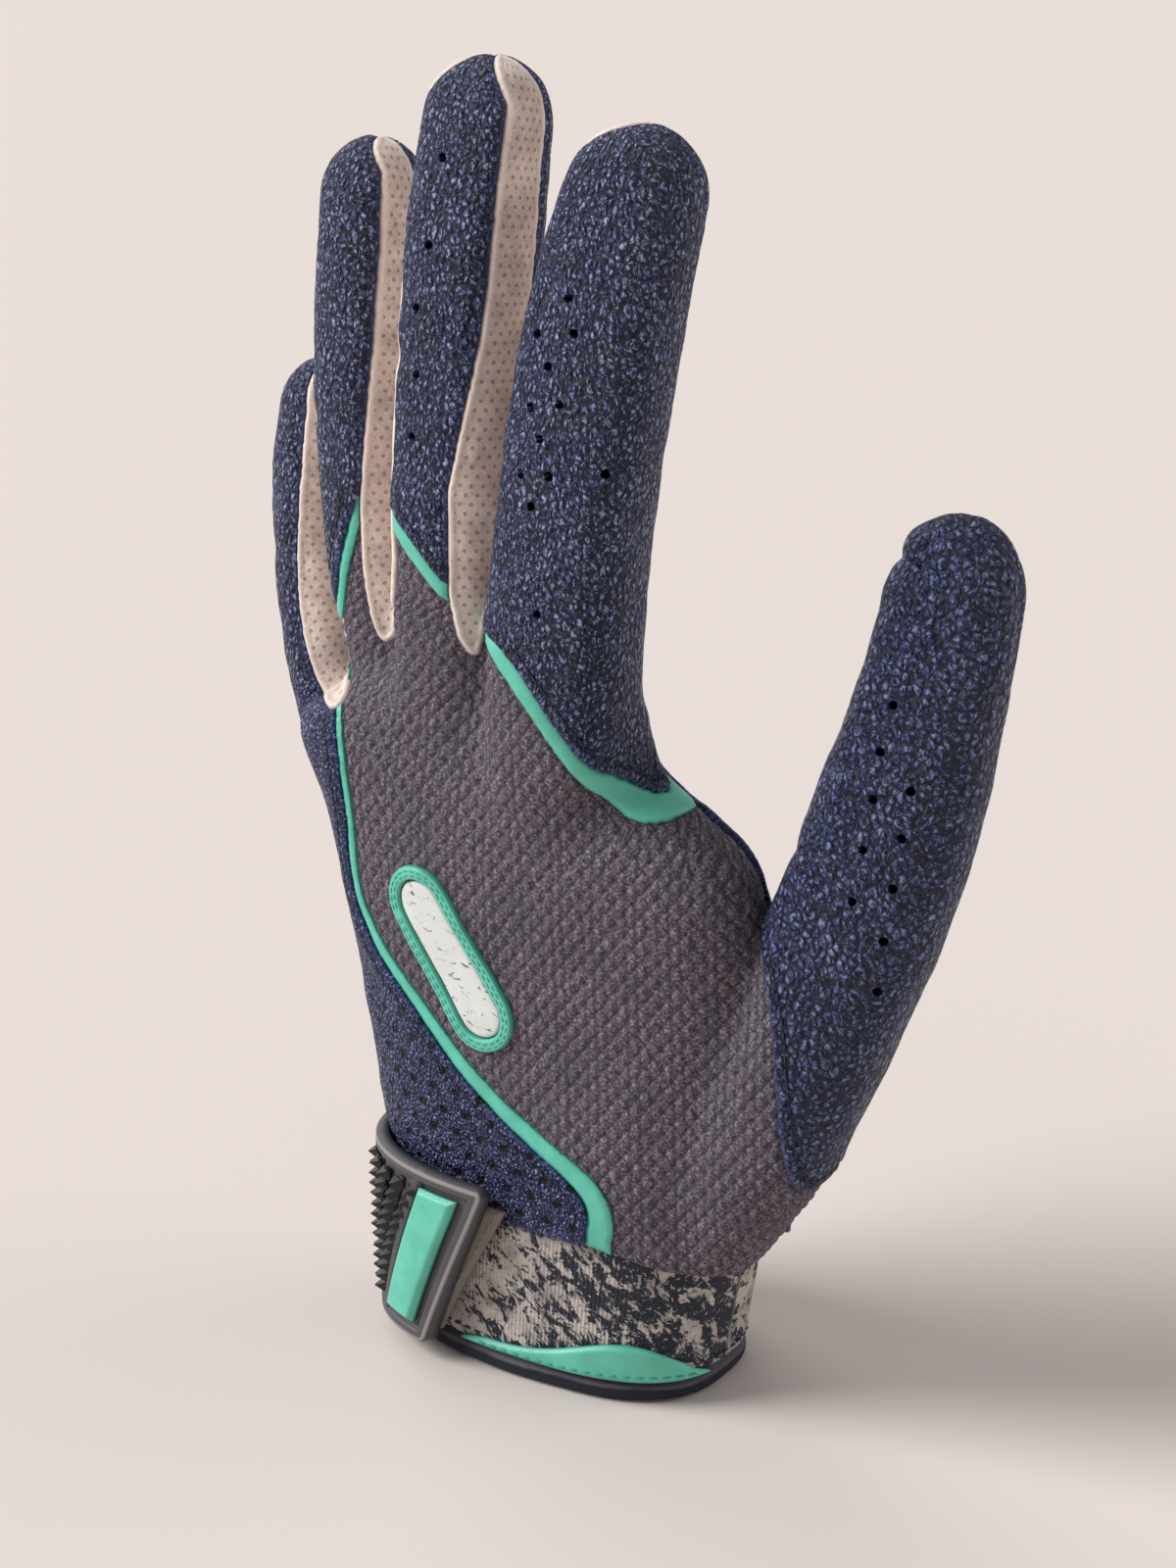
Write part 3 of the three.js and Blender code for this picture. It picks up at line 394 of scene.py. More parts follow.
# Gussets between the fingers: rounded leaves that point down over the knit
GUSSETS = {
    ("index", "middle"): outline(
        [(-12.4, 170), (-11.6, 160), (-11, 154.8), (-10.7, 150.4), (-9.6, 145), (-7.8, 141.9), (-6.2, 142.6),
         (-5.5, 146.4), (-5.2, 150.6), (-4.6, 157), (-4.2, 170)], [(-12.4, 170)]),
    ("middle", "ring"): outline(
        [(-38.6, 170), (-37.7, 158), (-37, 150.4), (-35.7, 143.4), (-34.2, 139.4), (-32.2, 138.1),
         (-30, 139.8), (-26.6, 145.6), (-23.8, 152), (-23, 160), (-22.6, 170)], [(-38.6, 170)]),
    ("ring", "little"): outline(
        [(-53.6, 168), (-52.9, 153.9), (-52.2, 144.7), (-51.1, 139.1), (-49.4, 134), (-47.6, 130.3),
         (-46.3, 128.1), (-45.3, 127.4), (-43.8, 128), (-42.4, 129.9), (-42, 132.9), (-42.3, 140.7),
         (-42.9, 145.6), (-44, 152), (-45.5, 168)], [(-53.6, 168)]),
}
# The gusset between ring and little finger lies on a slope, so its outline is drawn as seen from this
# side and height; it may drop further below its lowest point than the others
SLOPED_GUSSET, SLOPE_VIEW, SLOPE_TILT, SLOPE_DROP = ("ring", "little"), math.radians(34.5), 0.35, 14
# Heights where a gusset's edge turns from its outline to the digit's side seam, on the back and by the palm
PALMAR_EDGE, PALMAR_FADE, PALMAR_RISE = 5, 4, 6
GUSSET_JOINS = {
    ("index", "middle"): (149, 159, 143), ("middle", "ring"): (150, 160, 144),
    ("ring", "little"): (131, 143, 135),
}
# Width of the trim beside the ulnar leather, along its line from the fingers to the cuff
TRIM_UNDERLAP = 2
ULNAR_TRIM_WIDTHS = [0.9, 1.1, 1.4, 1.7, 2.0, 2.6, 3.2, 4.0, 5.0, 5.4]

# Side seams of the digits: (share along, degrees from the thumb side towards the palm)
SEAM_ANGLES = {
    ("index", "back_ulnar"):
        [(0.2, 197), (0.35, 192), (0.5, 188), (0.7, 185), (0.9, 194), (0.97, 216), (1, 240)],
    ("index", "front_ulnar"): [(0, 158), (1, 155)],
    ("index", "radial"): [(0, 42), (0.8, 36), (0.92, 18), (0.97, 3), (1, -10)],
    ("middle", "back_radial"):
        [(0.3, -62), (0.47, -64), (0.55, -54), (0.65, -42), (0.72, -38), (0.94, -36), (1, -60)],
    ("middle", "front_radial"): [(0, 20), (1, 15)],
    ("middle", "back_ulnar"): [(0.3, 228), (0.5, 222), (0.7, 216), (0.94, 210), (1, 240)],
    ("middle", "front_ulnar"): [(0, 158), (1, 155)],
    ("ring", "back_radial"):
        [(0.4, -69), (0.48, -65), (0.57, -54), (0.71, -41), (0.85, -35), (0.95, -39), (1, -66)],
    ("ring", "front_radial"): [(0, 20), (1, 15)],
    ("ring", "back_ulnar"): [(0.3, 224), (0.94, 210), (1, 236)],
    ("ring", "front_ulnar"): [(0, 158), (1, 155)],
    ("little", "back_radial"):
        [(0.3, -62), (0.475, -69), (0.58, -69), (0.69, -63), (0.8, -57), (0.91, -57), (1, -72)],
    ("little", "front_radial"): [(0, 20), (1, 15)],
    ("little", "ulnar"): [(0, 150), (1, 152)],
    ("thumb", "ulnar"): [(0, 158), (1, 150)],
    ("thumb", "radial"): [(0, 38), (0.75, 30), (0.85, 16), (0.94, 5), (1, 0)],
}
PALM_SEAM_SHARE = 0.06
THUMB_PALM_START, THUMB_PALM_BOTTOM = 46.0, 51.0
FINGERS = ["index", "middle", "ring", "little"]
NEIGHBOURS = list(zip(FINGERS[:-1], FINGERS[1:]))
HINGE_SHARES = {"index": 0.25, "middle": 0.24, "ring": 0.256, "little": 0.42}


def seam_angle(digit, seam, t):
    knots = SEAM_ANGLES[digit, seam]
    return np.interp(t, [k[0] for k in knots], [k[1] for k in knots])


def inside(points2, polygon):
    """Distance to an outline, above zero inside it."""
    polygon = polygon[:-1] if np.allclose(polygon[0], polygon[-1]) else polygon
    best = np.full(len(points2), 1e9)
    within = np.zeros(len(points2), bool)
    x, z = points2[:, 0], points2[:, 1]
    for a, b in zip(polygon, np.roll(polygon, -1, 0)):
        side = b - a
        k = np.clip(((points2 - a) @ side) / (side @ side), 0, 1)
        gap = points2 - a - k[:, None] * side
        best = np.minimum(best, (gap ** 2).sum(1))
        crosses = (a[1] > z) != (b[1] > z)
        rise = b[1] - a[1] if b[1] != a[1] else 1.0
        within ^= crosses & (x < a[0] + (z - a[1]) * side[0] / rise)
    return np.where(within, 1, -1) * np.sqrt(best)


class Skin:
    """Triangles whose vertices carry columns of values; a cut line shares all of them out."""

    def __init__(self, points, triangles):
        self.columns = {}
        self.data = np.zeros((len(points), 0))
        self.triangles = triangles.astype(np.int64)
        self.label = np.zeros(len(triangles), int)
        self.put("place", points)
        self.put("normal", vertex_normals(points, triangles))

    def put(self, name, values):
        values = np.asarray(values, float).reshape(len(self.data), -1)
        if name in self.columns:
            self.data[:, self.columns[name]] = values
            return
        self.columns[name] = slice(self.data.shape[1], self.data.shape[1] + values.shape[1])
        self.data = np.concatenate([self.data, values], 1)

    def get(self, name):
        values = self.data[:, self.columns[name]]
        return values[:, 0] if values.shape[1] == 1 else values

    def face(self, name):
        return self.get(name)[self.triangles].mean(1)

    def split(self, a, b, t):
        """Put a vertex at share t of each edge a to b, and share out the triangles round it."""
        count = len(self.data)
        low, high = np.minimum(a, b), np.maximum(a, b)
        self.data = np.concatenate([self.data, self.data[a] * (1 - t)[:, None] + self.data[b] * t[:, None]])
        key = low * count + high
        order = np.argsort(key)
        key, ids = key[order], count + order
        tri = self.triangles
        mids = []
        for i, j in ((0, 1), (1, 2), (2, 0)):
            want = np.minimum(tri[:, i], tri[:, j]) * count + np.maximum(tri[:, i], tri[:, j])
            at = np.clip(np.searchsorted(key, want), 0, len(key) - 1)
            mids.append(np.where(key[at] == want, ids[at], -1))
        cuts = sum((m >= 0).astype(int) for m in mids)
        own = self.label
        out, labels = [tri[cuts == 0]], [own[cuts == 0]]
        for r in range(3):
            p, q, s = tri[:, r], tri[:, (r + 1) % 3], tri[:, (r + 2) % 3]
            pq, qs, sp = mids[r], mids[(r + 1) % 3], mids[(r + 2) % 3]
            one = (cuts == 1) & (pq >= 0)
            out += [np.stack([p, pq, s], 1)[one], np.stack([pq, q, s], 1)[one]]
            two = (cuts == 2) & (sp < 0)
            out += [np.stack(c, 1)[two] for c in ([pq, q, qs], [p, pq, qs], [p, qs, s])]
            labels += [own[one]] * 2 + [own[two]] * 3
        p, q, s = tri.T
        three = cuts == 3
        out += [np.stack(c, 1)[three] for c in
                ([p, mids[0], mids[2]], [mids[0], q, mids[1]], [mids[2], mids[1], s], mids)]
        labels += [own[three]] * 4
        self.triangles, self.label = np.concatenate(out), np.concatenate(labels)

    def edges(self, mask):
        return np.unique(sides_of(self.triangles[mask]), axis=0)

    def imprint(self, name, mask=None, level=0.0, snap=0.14):
        """Make edges along the line where a column equals the level."""
        mask = np.ones(len(self.triangles), bool) if mask is None else mask
        column = self.columns[name].start
        touched = np.unique(self.triangles[mask])
        near = touched[np.abs(self.data[touched, column] - level) < snap]
        self.data[near, column] = level
        pairs = self.edges(mask)
        a, b = pairs.T
        va, vb = self.data[a, column] - level, self.data[b, column] - level
        cut = va * vb < 0
        a, b, va, vb = a[cut], b[cut], va[cut], vb[cut]
        if not len(a):
            return
        count = len(self.data)
        self.split(a, b, va / (va - vb))
        self.data[count:, column] = level

    def refine(self, mask):
        a, b = self.edges(mask).T
        self.split(a, b, np.full(len(a), 0.5))

    def keep(self, mask):
        self.triangles, self.label = self.triangles[mask], self.label[mask]
        used, inverse = np.unique(self.triangles, return_inverse=True)
        self.data = self.data[used]
        self.triangles = inverse.reshape(-1, 3)


# Where the palm seam leaves its plain line: place across with its fade, and place up with its fade
INDEX_ROOT, THUMB_HEEL = (12, 14, 88, 14), (24, 12, 64, -16)
LITTLE_ROOT, THUMB_BONE = (-34, -16, 92, 26), (40, 12, 46, 8)
INDEX_ROOT_SHIFT, THUMB_HEEL_SHIFT, LITTLE_ROOT_SHIFT = 5.0, 7.0, 3.0


def fading(size, x, z, across, across_fade, up, up_fade):
    """A size that fades in beyond a place across and a place up."""
    return size * ease((x - across) / across_fade) * ease((z - up) / up_fade)


def bone_depth(name, z):
    """How far to the palm side a digit's bone line lies at each height."""
    bone = digits[name].place
    return np.interp(z, bone[:, 2], bone[:, 1])


def palm_seam(x, z):
    """Where the back meets the palm, across the thickness, at each place along and up the hand."""
    back = np.interp((z - CUFF_HEIGHT) / PALM_HEIGHT, PALM_ROW_SHARES[:, 0], PALM_ROW_SHARES[:, 2])
    seam = PALM_DEPTH * (PALM_SEAM_SHARE - back)
    seam = seam + fading(INDEX_ROOT_SHIFT, x, z, *INDEX_ROOT)
    seam = seam + fading(THUMB_HEEL_SHIFT, x, z, *THUMB_HEEL)
    return seam + fading(bone_depth("little", z) + LITTLE_ROOT_SHIFT - seam, x, z, *LITTLE_ROOT)


# Steps of the grid that measures across the back, and the steepest slope that it follows
ACROSS_STEP, UP_STEP, STEEPEST = 2.0, 4.0, 5
RAY_START, TOWARDS_PALM = -200, Vector((0, 1, 0))


def around_back(skin):
    """Length across the back of the hand at each point, measured over its surface."""
    points = skin.get("place")
    tree = BVHTree.FromPolygons(points.tolist(), skin.triangles.tolist())
    across, up = np.arange(-72.0, 74.0, ACROSS_STEP), np.arange(24.0, 184.0, UP_STEP)
    front = np.full((len(up), len(across)), np.nan)
    for i, z in enumerate(up):
        for k, x in enumerate(across):
            hit = tree.ray_cast(Vector((x, RAY_START, z)), TOWARDS_PALM)[0]
            front[i, k] = hit[1] if hit else np.nan
        known = ~np.isnan(front[i])
        front[i] = np.interp(across, across[known], front[i][known])
    steps = np.hypot(np.diff(across), np.clip(np.diff(front, axis=1), -STEEPEST, STEEPEST))
    length = np.concatenate([np.zeros((len(up), 1)), np.cumsum(steps, 1)], 1)
    length -= length[:, [np.abs(across).argmin()]]
    x, y, z = points.T
    row = np.clip((z - up[0]) / UP_STEP, 0, len(up) - 1.001)
    column = np.clip((x - across[0]) / ACROSS_STEP, 0, len(across) - 1.001)
    i, k = row.astype(int), column.astype(int)
    a, b = row - i, column - k
    pick = lambda table: ((table[i, k] * (1 - b) + table[i, k + 1] * b) * (1 - a)
                          + (table[i + 1, k] * (1 - b) + table[i + 1, k + 1] * b) * a)
    return pick(length) + np.maximum(y - pick(front) - 1.0, 0) * np.sign(x)


LOZENGE_WIDTH, LOZENGE_HEIGHT, LOZENGE_RISE, LOZENGE_POWER = 3.3, 4.2, 0.4, 0.55


def lozenges(weave):
    """Height of the knit's bumps, from zero in the gaps to one."""
    u, v = weave[:, 0] / LOZENGE_WIDTH, weave[:, 1] / LOZENGE_HEIGHT
    return (np.abs(np.sin(np.pi * (u + v))) * np.abs(np.sin(np.pi * (u - v)))) ** LOZENGE_POWER


WRIST_GAP, WRIST_FOLD, WRIST_FOLD_START, WRIST_FOLD_FADE = 0.5, 4.2, 14, 24


def wrist_level(x):
    """The knit folds a little over the cuff at the thumb side."""
    return CUFF_HEIGHT + WRIST_GAP - WRIST_FOLD * ease((x - WRIST_FOLD_START) / WRIST_FOLD_FADE)


PIECES = ["back_panel", "palm_leather", "ulnar_side_panel",
          "index_trim", "middle_trim", "ring_trim", "ulnar_trim",
          "index_back", "index_front", "index_fourchette_ulnar",
          "middle_back", "middle_front", "middle_fourchette_radial", "middle_fourchette_ulnar",
          "ring_back", "ring_front", "ring_fourchette_radial", "ring_fourchette_ulnar",
          "little_back", "little_front", "little_fourchette_radial", "thumb_back", "thumb_front",
          "knit_middle", "knit_ring"]
CODE = {name: i for i, name in enumerate(PIECES)}
# Above these heights the knit between the fingers belongs to the finger beside it
KNIT_SPLIT_HEIGHT, LITTLE_KNIT_HEIGHT = 150.0, 132.0


def hinge_of(name):
    digit = digits[name]
    place, along, _, _ = (v[0] for v in digit.at(HINGE_SHARES[name]))
    axis = np.array([1.0, 0, 0]) - along * along[0]
    axis /= np.linalg.norm(axis)
    palmar = np.cross(along, axis)
    return place + palmar * digit.half_sizes(np.array([HINGE_SHARES[name]]))[1][0], along


hinges = {name: hinge_of(name) for name in FINGERS}


def lay_fields(skin):
    points = skin.get("place")
    flat = points[:, [0, 2]]
    x, y, z = points.T
    depth = y * math.cos(SLOPE_VIEW) - x * math.sin(SLOPE_VIEW)
    sloped = np.stack([x * math.cos(SLOPE_VIEW) + y * math.sin(SLOPE_VIEW), z + SLOPE_TILT * depth], 1)
    skin.put("wrist", z - wrist_level(x))
    over = {}
    for name, digit in digits.items():
        t, angle, rho = digit.local(points)
        half_width, half_depth = digit.half_sizes(np.clip(t, 0, 1))
        c, s = np.cos(np.radians(angle)), np.sin(np.radians(angle))
        power = np.abs(c / half_width) ** ROUND_SHARE + np.abs(s / half_depth) ** ROUND_SHARE
        over[name] = rho - power ** (-1 / ROUND_SHARE)
        for digit_name, seam in SEAM_ANGLES:
            if digit_name == name:
                turn = (angle - seam_angle(name, seam, t) + 180) % 360 - 180
                skin.put(f"{name}.{seam}", np.radians(turn) * np.maximum(rho, 1.0))
        skin.put(name + ".t", t)
        skin.put(name + ".over", over[name])
        # Unrolled place on the digit, with its cut line on the palm side
        unrolled = (angle - 90) % 360 - 180
        skin.put(name + ".uv", np.stack([np.radians(unrolled) * digit.width / 2, t * digit.length], 1))
    seam_y = palm_seam(x, z)
    for a, b in NEIGHBOURS:
        skin.put(f"{a}|{b}", over[a] - over[b])
        join = GUSSET_JOINS[a, b]
        leaf = -inside(sloped if (a, b) == SLOPED_GUSSET else flat, GUSSETS[a, b])
        palmar = ease((y - seam_y + PALMAR_EDGE) / PALMAR_FADE) * ease((z - join[2]) / PALMAR_RISE)
        share = np.maximum(ease((z - join[0]) / (join[1] - join[0])), palmar)
        for name, seam, sign in ((a, "back_ulnar", 1), (b, "back_radial", -1)):
            field = f"{name}.{seam}"
            skin.put(field, share * skin.get(field) * sign + (1 - share) * leaf)
    skin.put("back", y - seam_y - fading(bone_depth("thumb", z) - seam_y, x, z, *THUMB_BONE))
    for name, shape in (("index", INDEX_LEATHER), ("middle", MIDDLE_LEATHER), ("ring", RING_LEATHER),
                        ("little", ULNAR_LEATHER), ("thumb", THUMB_LEATHER)):
        skin.put(name + ".leather", inside(flat, shape))
    for name, shape in (("index", INDEX_TRIM), ("middle", MIDDLE_TRIM), ("ring", RING_TRIM)):
        skin.put(name + ".trim", inside(flat, shape))
    line = rounded(ULNAR_LEATHER_LINE)
    shares = [np.linspace(0, 1, len(row)) for row in (line, ULNAR_TRIM_WIDTHS)]
    width = np.interp(*shares, ULNAR_TRIM_WIDTHS)
    side = np.gradient(line, axis=0)
    side = np.stack([-side[:, 1], side[:, 0]], 1) / np.linalg.norm(side, axis=1)[:, None]
    strip = np.concatenate([line - side * TRIM_UNDERLAP, (line + side * width[:, None])[::-1]])
    skin.put("ulnar.trim", inside(flat, strip))
    skin.put("thumb.palm", np.minimum(x - THUMB_PALM_START, z - THUMB_PALM_BOTTOM))
    for name, (pivot, along) in hinges.items():
        skin.put(name + ".start", (points - pivot) @ along)
    skin.put("weave", np.stack([around_back(skin), z], 1))


def nearest_finger(skin):
    over = np.stack([skin.face(name + ".over") for name in FINGERS], 1)
    return over.argmin(1)


# Places that bound the seams: heights on the fingers, and across and up on the thumb
BACK_SEAM_TOP, ROOT_HEIGHT, FINGER_SEAM_FOOT, ULNAR_TRIM_TOP = 152, 112, 108, 131
THUMB_PALM_TOP, THUMB_PALM_SIDE, THUMB_SEAM_SIDE, THUMB_SEAM_FOOT, THUMB_LABEL_DROP = 120, 40, 44, 48, 4
GUSSET_SPREAD = 1.6


def imprint_seams(skin):
    skin.imprint("wrist")
    skin.keep(skin.face("wrist") > 0)
    height = lambda: skin.face("place")[:, 2]
    skin.imprint("back", height() < BACK_SEAM_TOP)
    skin.put("knit_split", skin.get("place")[:, 2] - KNIT_SPLIT_HEIGHT)
    skin.imprint("knit_split", skin.face("back") < 0)
    for a, b in NEIGHBOURS:
        i = FINGERS.index(a)
        near = nearest_finger(skin)
        skin.imprint(f"{a}|{b}", ((near == i) | (near == i + 1)) & (height() > ROOT_HEIGHT))
    off_thumb = lambda: skin.face("thumb.leather") < 0
    for i, name in enumerate(FINGERS):
        near = off_thumb() if name == "little" else off_thumb() & (nearest_finger(skin) == i)
        skin.imprint(name + ".leather", near & (skin.face("back") < 0))
        skin.imprint(name + ".start", off_thumb() & (nearest_finger(skin) == i) & (skin.face("back") > 0))
    skin.imprint("thumb.leather", (skin.face("back") < 0) | (height() > ROOT_HEIGHT))
    beside = skin.face("place")[:, 0] > THUMB_PALM_SIDE
    skin.imprint("thumb.palm", (skin.face("back") > 0) & (height() < THUMB_PALM_TOP) & beside)
    for name in ("index", "middle", "ring", "ulnar"):
        skin.imprint(name + ".trim", skin.face("back") < 0)
    for name, seam in SEAM_ANGLES:
        if name == "thumb":
            mask = (skin.face("place")[:, 0] > THUMB_SEAM_SIDE) & (height() > THUMB_SEAM_FOOT)
        else:
            mask = (nearest_finger(skin) == FINGERS.index(name)) & (height() > FINGER_SEAM_FOOT) & off_thumb()
        skin.imprint(f"{name}.{seam}", mask)


def label_faces(skin):
    """Say which piece each triangle belongs to."""
    face = skin.face
    near = nearest_finger(skin)
    back = face("back") < 0
    z = face("place")[:, 2]
    label = np.where(back, CODE["back_panel"], CODE["palm_leather"])
    thumb = np.where(back | (z > ROOT_HEIGHT), face("thumb.leather") > 0, face("thumb.palm") > 0)
    thumb &= z > THUMB_PALM_BOTTOM - THUMB_LABEL_DROP
    label[back & (face("little.leather") > 0) & ~thumb] = CODE["ulnar_side_panel"]
    for name in ("index", "middle", "ring"):
        trim = back & (face(name + ".trim") > 0) & (near == FINGERS.index(name)) & ~thumb
        label[trim & (label == CODE["back_panel"])] = CODE[name + "_trim"]
    trim = back & (face("ulnar.trim") > 0) & ~thumb & (z < ULNAR_TRIM_TOP)
    label[trim & (label == CODE["back_panel"])] = CODE["ulnar_trim"]
    for i, name in enumerate(FINGERS):
        own = (near == i) & ~thumb
        above = np.where(back, face(name + ".leather") > 0, face(name + ".start") > 0)
        if name == "little":
            above &= (face("little.start") > 0) | ~back
            above |= back & (face("little.start") > 0) & (label == CODE["ulnar_side_panel"])
        label[own & above] = CODE[name + "_back"]
        if name == "little":
            front = (face("little.front_radial") > 0) & (face("little.ulnar") < 0)
        else:
            first = "radial" if name == "index" else "front_radial"
            front = (face(f"{name}.{first}") > 0) & (face(name + ".front_ulnar") < 0)
        label[own & above & front & (face(name + ".start") > 0)] = CODE[name + "_front"]
    for a, b in NEIGHBOURS:
        lowest = GUSSETS[a, b][:, 1].min() - (SLOPE_DROP if (a, b) == SLOPED_GUSSET else 1)
        for name, seam, front, piece, sign in ((a, "back_ulnar", "front_ulnar", "_fourchette_ulnar", 1),
                                               (b, "back_radial", "front_radial", "_fourchette_radial", -1)):
            own = (near == FINGERS.index(name)) & ~thumb & (z > lowest)
            strip = (face(f"{name}.{seam}") < 0) & (face(f"{name}.{front}") * sign > 0)
            side = np.abs(face(f"{name}.{front}")) < digits[name].width * GUSSET_SPREAD
            label[own & strip & side & (back | (face(name + ".start") > 0))] = CODE[name + piece]
    label[thumb] = CODE["thumb_back"]
    front = thumb & (face("thumb.radial") > 0) & (face("thumb.ulnar") < 0)
    label[front & (~back | (z > ROOT_HEIGHT))] = CODE["thumb_front"]
    knit = (label == CODE["back_panel"]) & (z > KNIT_SPLIT_HEIGHT)
    label[knit & (near == FINGERS.index("middle"))] = CODE["knit_middle"]
    label[knit & (near == FINGERS.index("ring"))] = CODE["knit_ring"]
    label[knit & (near == FINGERS.index("index"))] = CODE["index_back"]
    knit = (label == CODE["back_panel"]) & (z > LITTLE_KNIT_HEIGHT)
    label[knit & (near == FINGERS.index("little"))] = CODE["little_back"]
    skin.label = label


LEATHER = {"palm_leather", "ulnar_side_panel", "thumb_back", "thumb_front"} | {
    f"{name}_{side}" for name in FINGERS for side in ("back", "front")}
TRIMS = {"index_trim", "middle_trim", "ring_trim", "ulnar_trim"}
KNITS = {"back_panel", "knit_middle", "knit_ring"}
KNIT_KIND, TRIM_KIND, LEATHER_KIND, GUSSET_KIND = range(4)
KIND = np.array([KNIT_KIND if name in KNITS else TRIM_KIND if name in TRIMS
                 else LEATHER_KIND if name in LEATHER else GUSSET_KIND for name in PIECES])
# Pairs that are one material with a cut that the eye doesn't see
ONE_SHEET = [("ulnar_side_panel", "little_back"), ("back_panel", "knit_middle"), ("back_panel", "knit_ring"),
             ("knit_middle", "knit_ring"), ("palm_leather", "index_front"), ("palm_leather", "middle_front"),
             ("palm_leather", "ring_front"), ("palm_leather", "little_front"), ("palm_leather", "index_back")]
# How far each material stands off the hand, with its grooves and rolled edges
LINING_DEPTH = 1.0
LEATHER_RISE, LAP_RISE, LAP_REACH, LAP_GROOVE, SEWN_GROOVE = 1.1, 0.55, 5.0, 0.3, 0.2
TRIM_RISE, GUSSET_RISE, GUSSET_ROLL, GUSSET_ROLL_RISE = 0.95, 0.35, 0.85, 0.45
# Distances from an edge: of the stitches in a lapped and a butted seam, and of extra rows of vertices
LAP_STITCH, SEWN_STITCH = 2.1, 1.6
EDGE_LEVELS = (0.45, 0.95, SEWN_STITCH, LAP_STITCH, 2.6)


def edge_table(triangles):
    """Each edge once, with the one or two triangles beside it."""
    pairs = sides_of(triangles)
    face = np.tile(np.arange(len(triangles)), 3)
    key = pairs[:, 0] * (triangles.max() + 1) + pairs[:, 1]
    order = np.argsort(key, kind="stable")
    key, face, pairs = key[order], face[order], pairs[order]
    first = np.flatnonzero(np.r_[True, key[1:] != key[:-1]])
    last = np.r_[first[1:], len(key)] - 1
    return pairs[first], face[first], np.where(last > first, face[last], -1)


def near_lines(points, ends_a, ends_b):
    """Distance from points to short straight pieces of line."""
    if not len(ends_a):
        return np.full(len(points), FAR)
    share = np.array([0.0, 0.25, 0.5, 0.75])[:, None, None]
    samples = (ends_a * (1 - share) + ends_b * share).reshape(-1, 3)
    tree = KDTree(len(samples))
    for i, p in enumerate(samples):
        tree.insert(p, i)
    tree.balance()
    return np.array([tree.find(p)[2] for p in points])


def mark_edges(skin):
    label = skin.label
    pairs, one, two = edge_table(skin.triangles)
    place = skin.get("place")
    open_edge = two < 0
    a, b = label[one], np.where(open_edge, label[one], label[two])
    hard = a != b
    for first, second in ONE_SHEET:
        hard &= ~(((a == CODE[first]) & (b == CODE[second])) | ((b == CODE[first]) & (a == CODE[second])))
    hard |= open_edge
    low, high = np.minimum(KIND[a], KIND[b]), np.maximum(KIND[a], KIND[b])
    lap = hard & (high == LEATHER_KIND) & (low < LEATHER_KIND)
    for name, mask in (("edge", hard), ("lap", lap), ("sewn", hard & ~lap & ~open_edge)):
        ends = pairs[mask]
        skin.put(name, near_lines(place, place[ends[:, 0]], place[ends[:, 1]]))


def rise_of(skin, kind):
    """How far the outer face of each kind of material stands off the hand."""
    edge, lap, sewn = skin.get("edge"), skin.get("lap"), skin.get("sewn")
    if kind == KNIT_KIND:
        return LOZENGE_RISE * skin.get("lozenge") * ease(edge / 1.2)
    if kind == TRIM_KIND:
        return TRIM_RISE * (1 - 0.45 * bell(edge, 0, 0.5))
    if kind == GUSSET_KIND:
        rolled = GUSSET_RISE + GUSSET_ROLL_RISE * bell(edge, GUSSET_ROLL, 0.5)
        return rolled - GUSSET_RISE * bell(edge, 0, 0.35)
    rise = LEATHER_RISE + LAP_RISE * bell(lap, 0, LAP_REACH)
    rise -= LAP_GROOVE * bell(lap, LAP_STITCH, 0.5)
    rise -= SEWN_GROOVE * bell(sewn, SEWN_STITCH, 0.5)
    rise *= 1 - 0.25 * bell(lap, 0, 0.4)
    return rise * (1 - 0.6 * bell(sewn, 0, 0.7))


def set_attribute(mesh, name, values):
    kind = {1: "FLOAT", 2: "FLOAT2", 3: "FLOAT_VECTOR"}[values.shape[1] if values.ndim > 1 else 1]
    attribute = mesh.attributes.new(name, kind, "POINT")
    attribute.data.foreach_set("value" if kind == "FLOAT" else "vector", values.astype(np.float32).ravel())


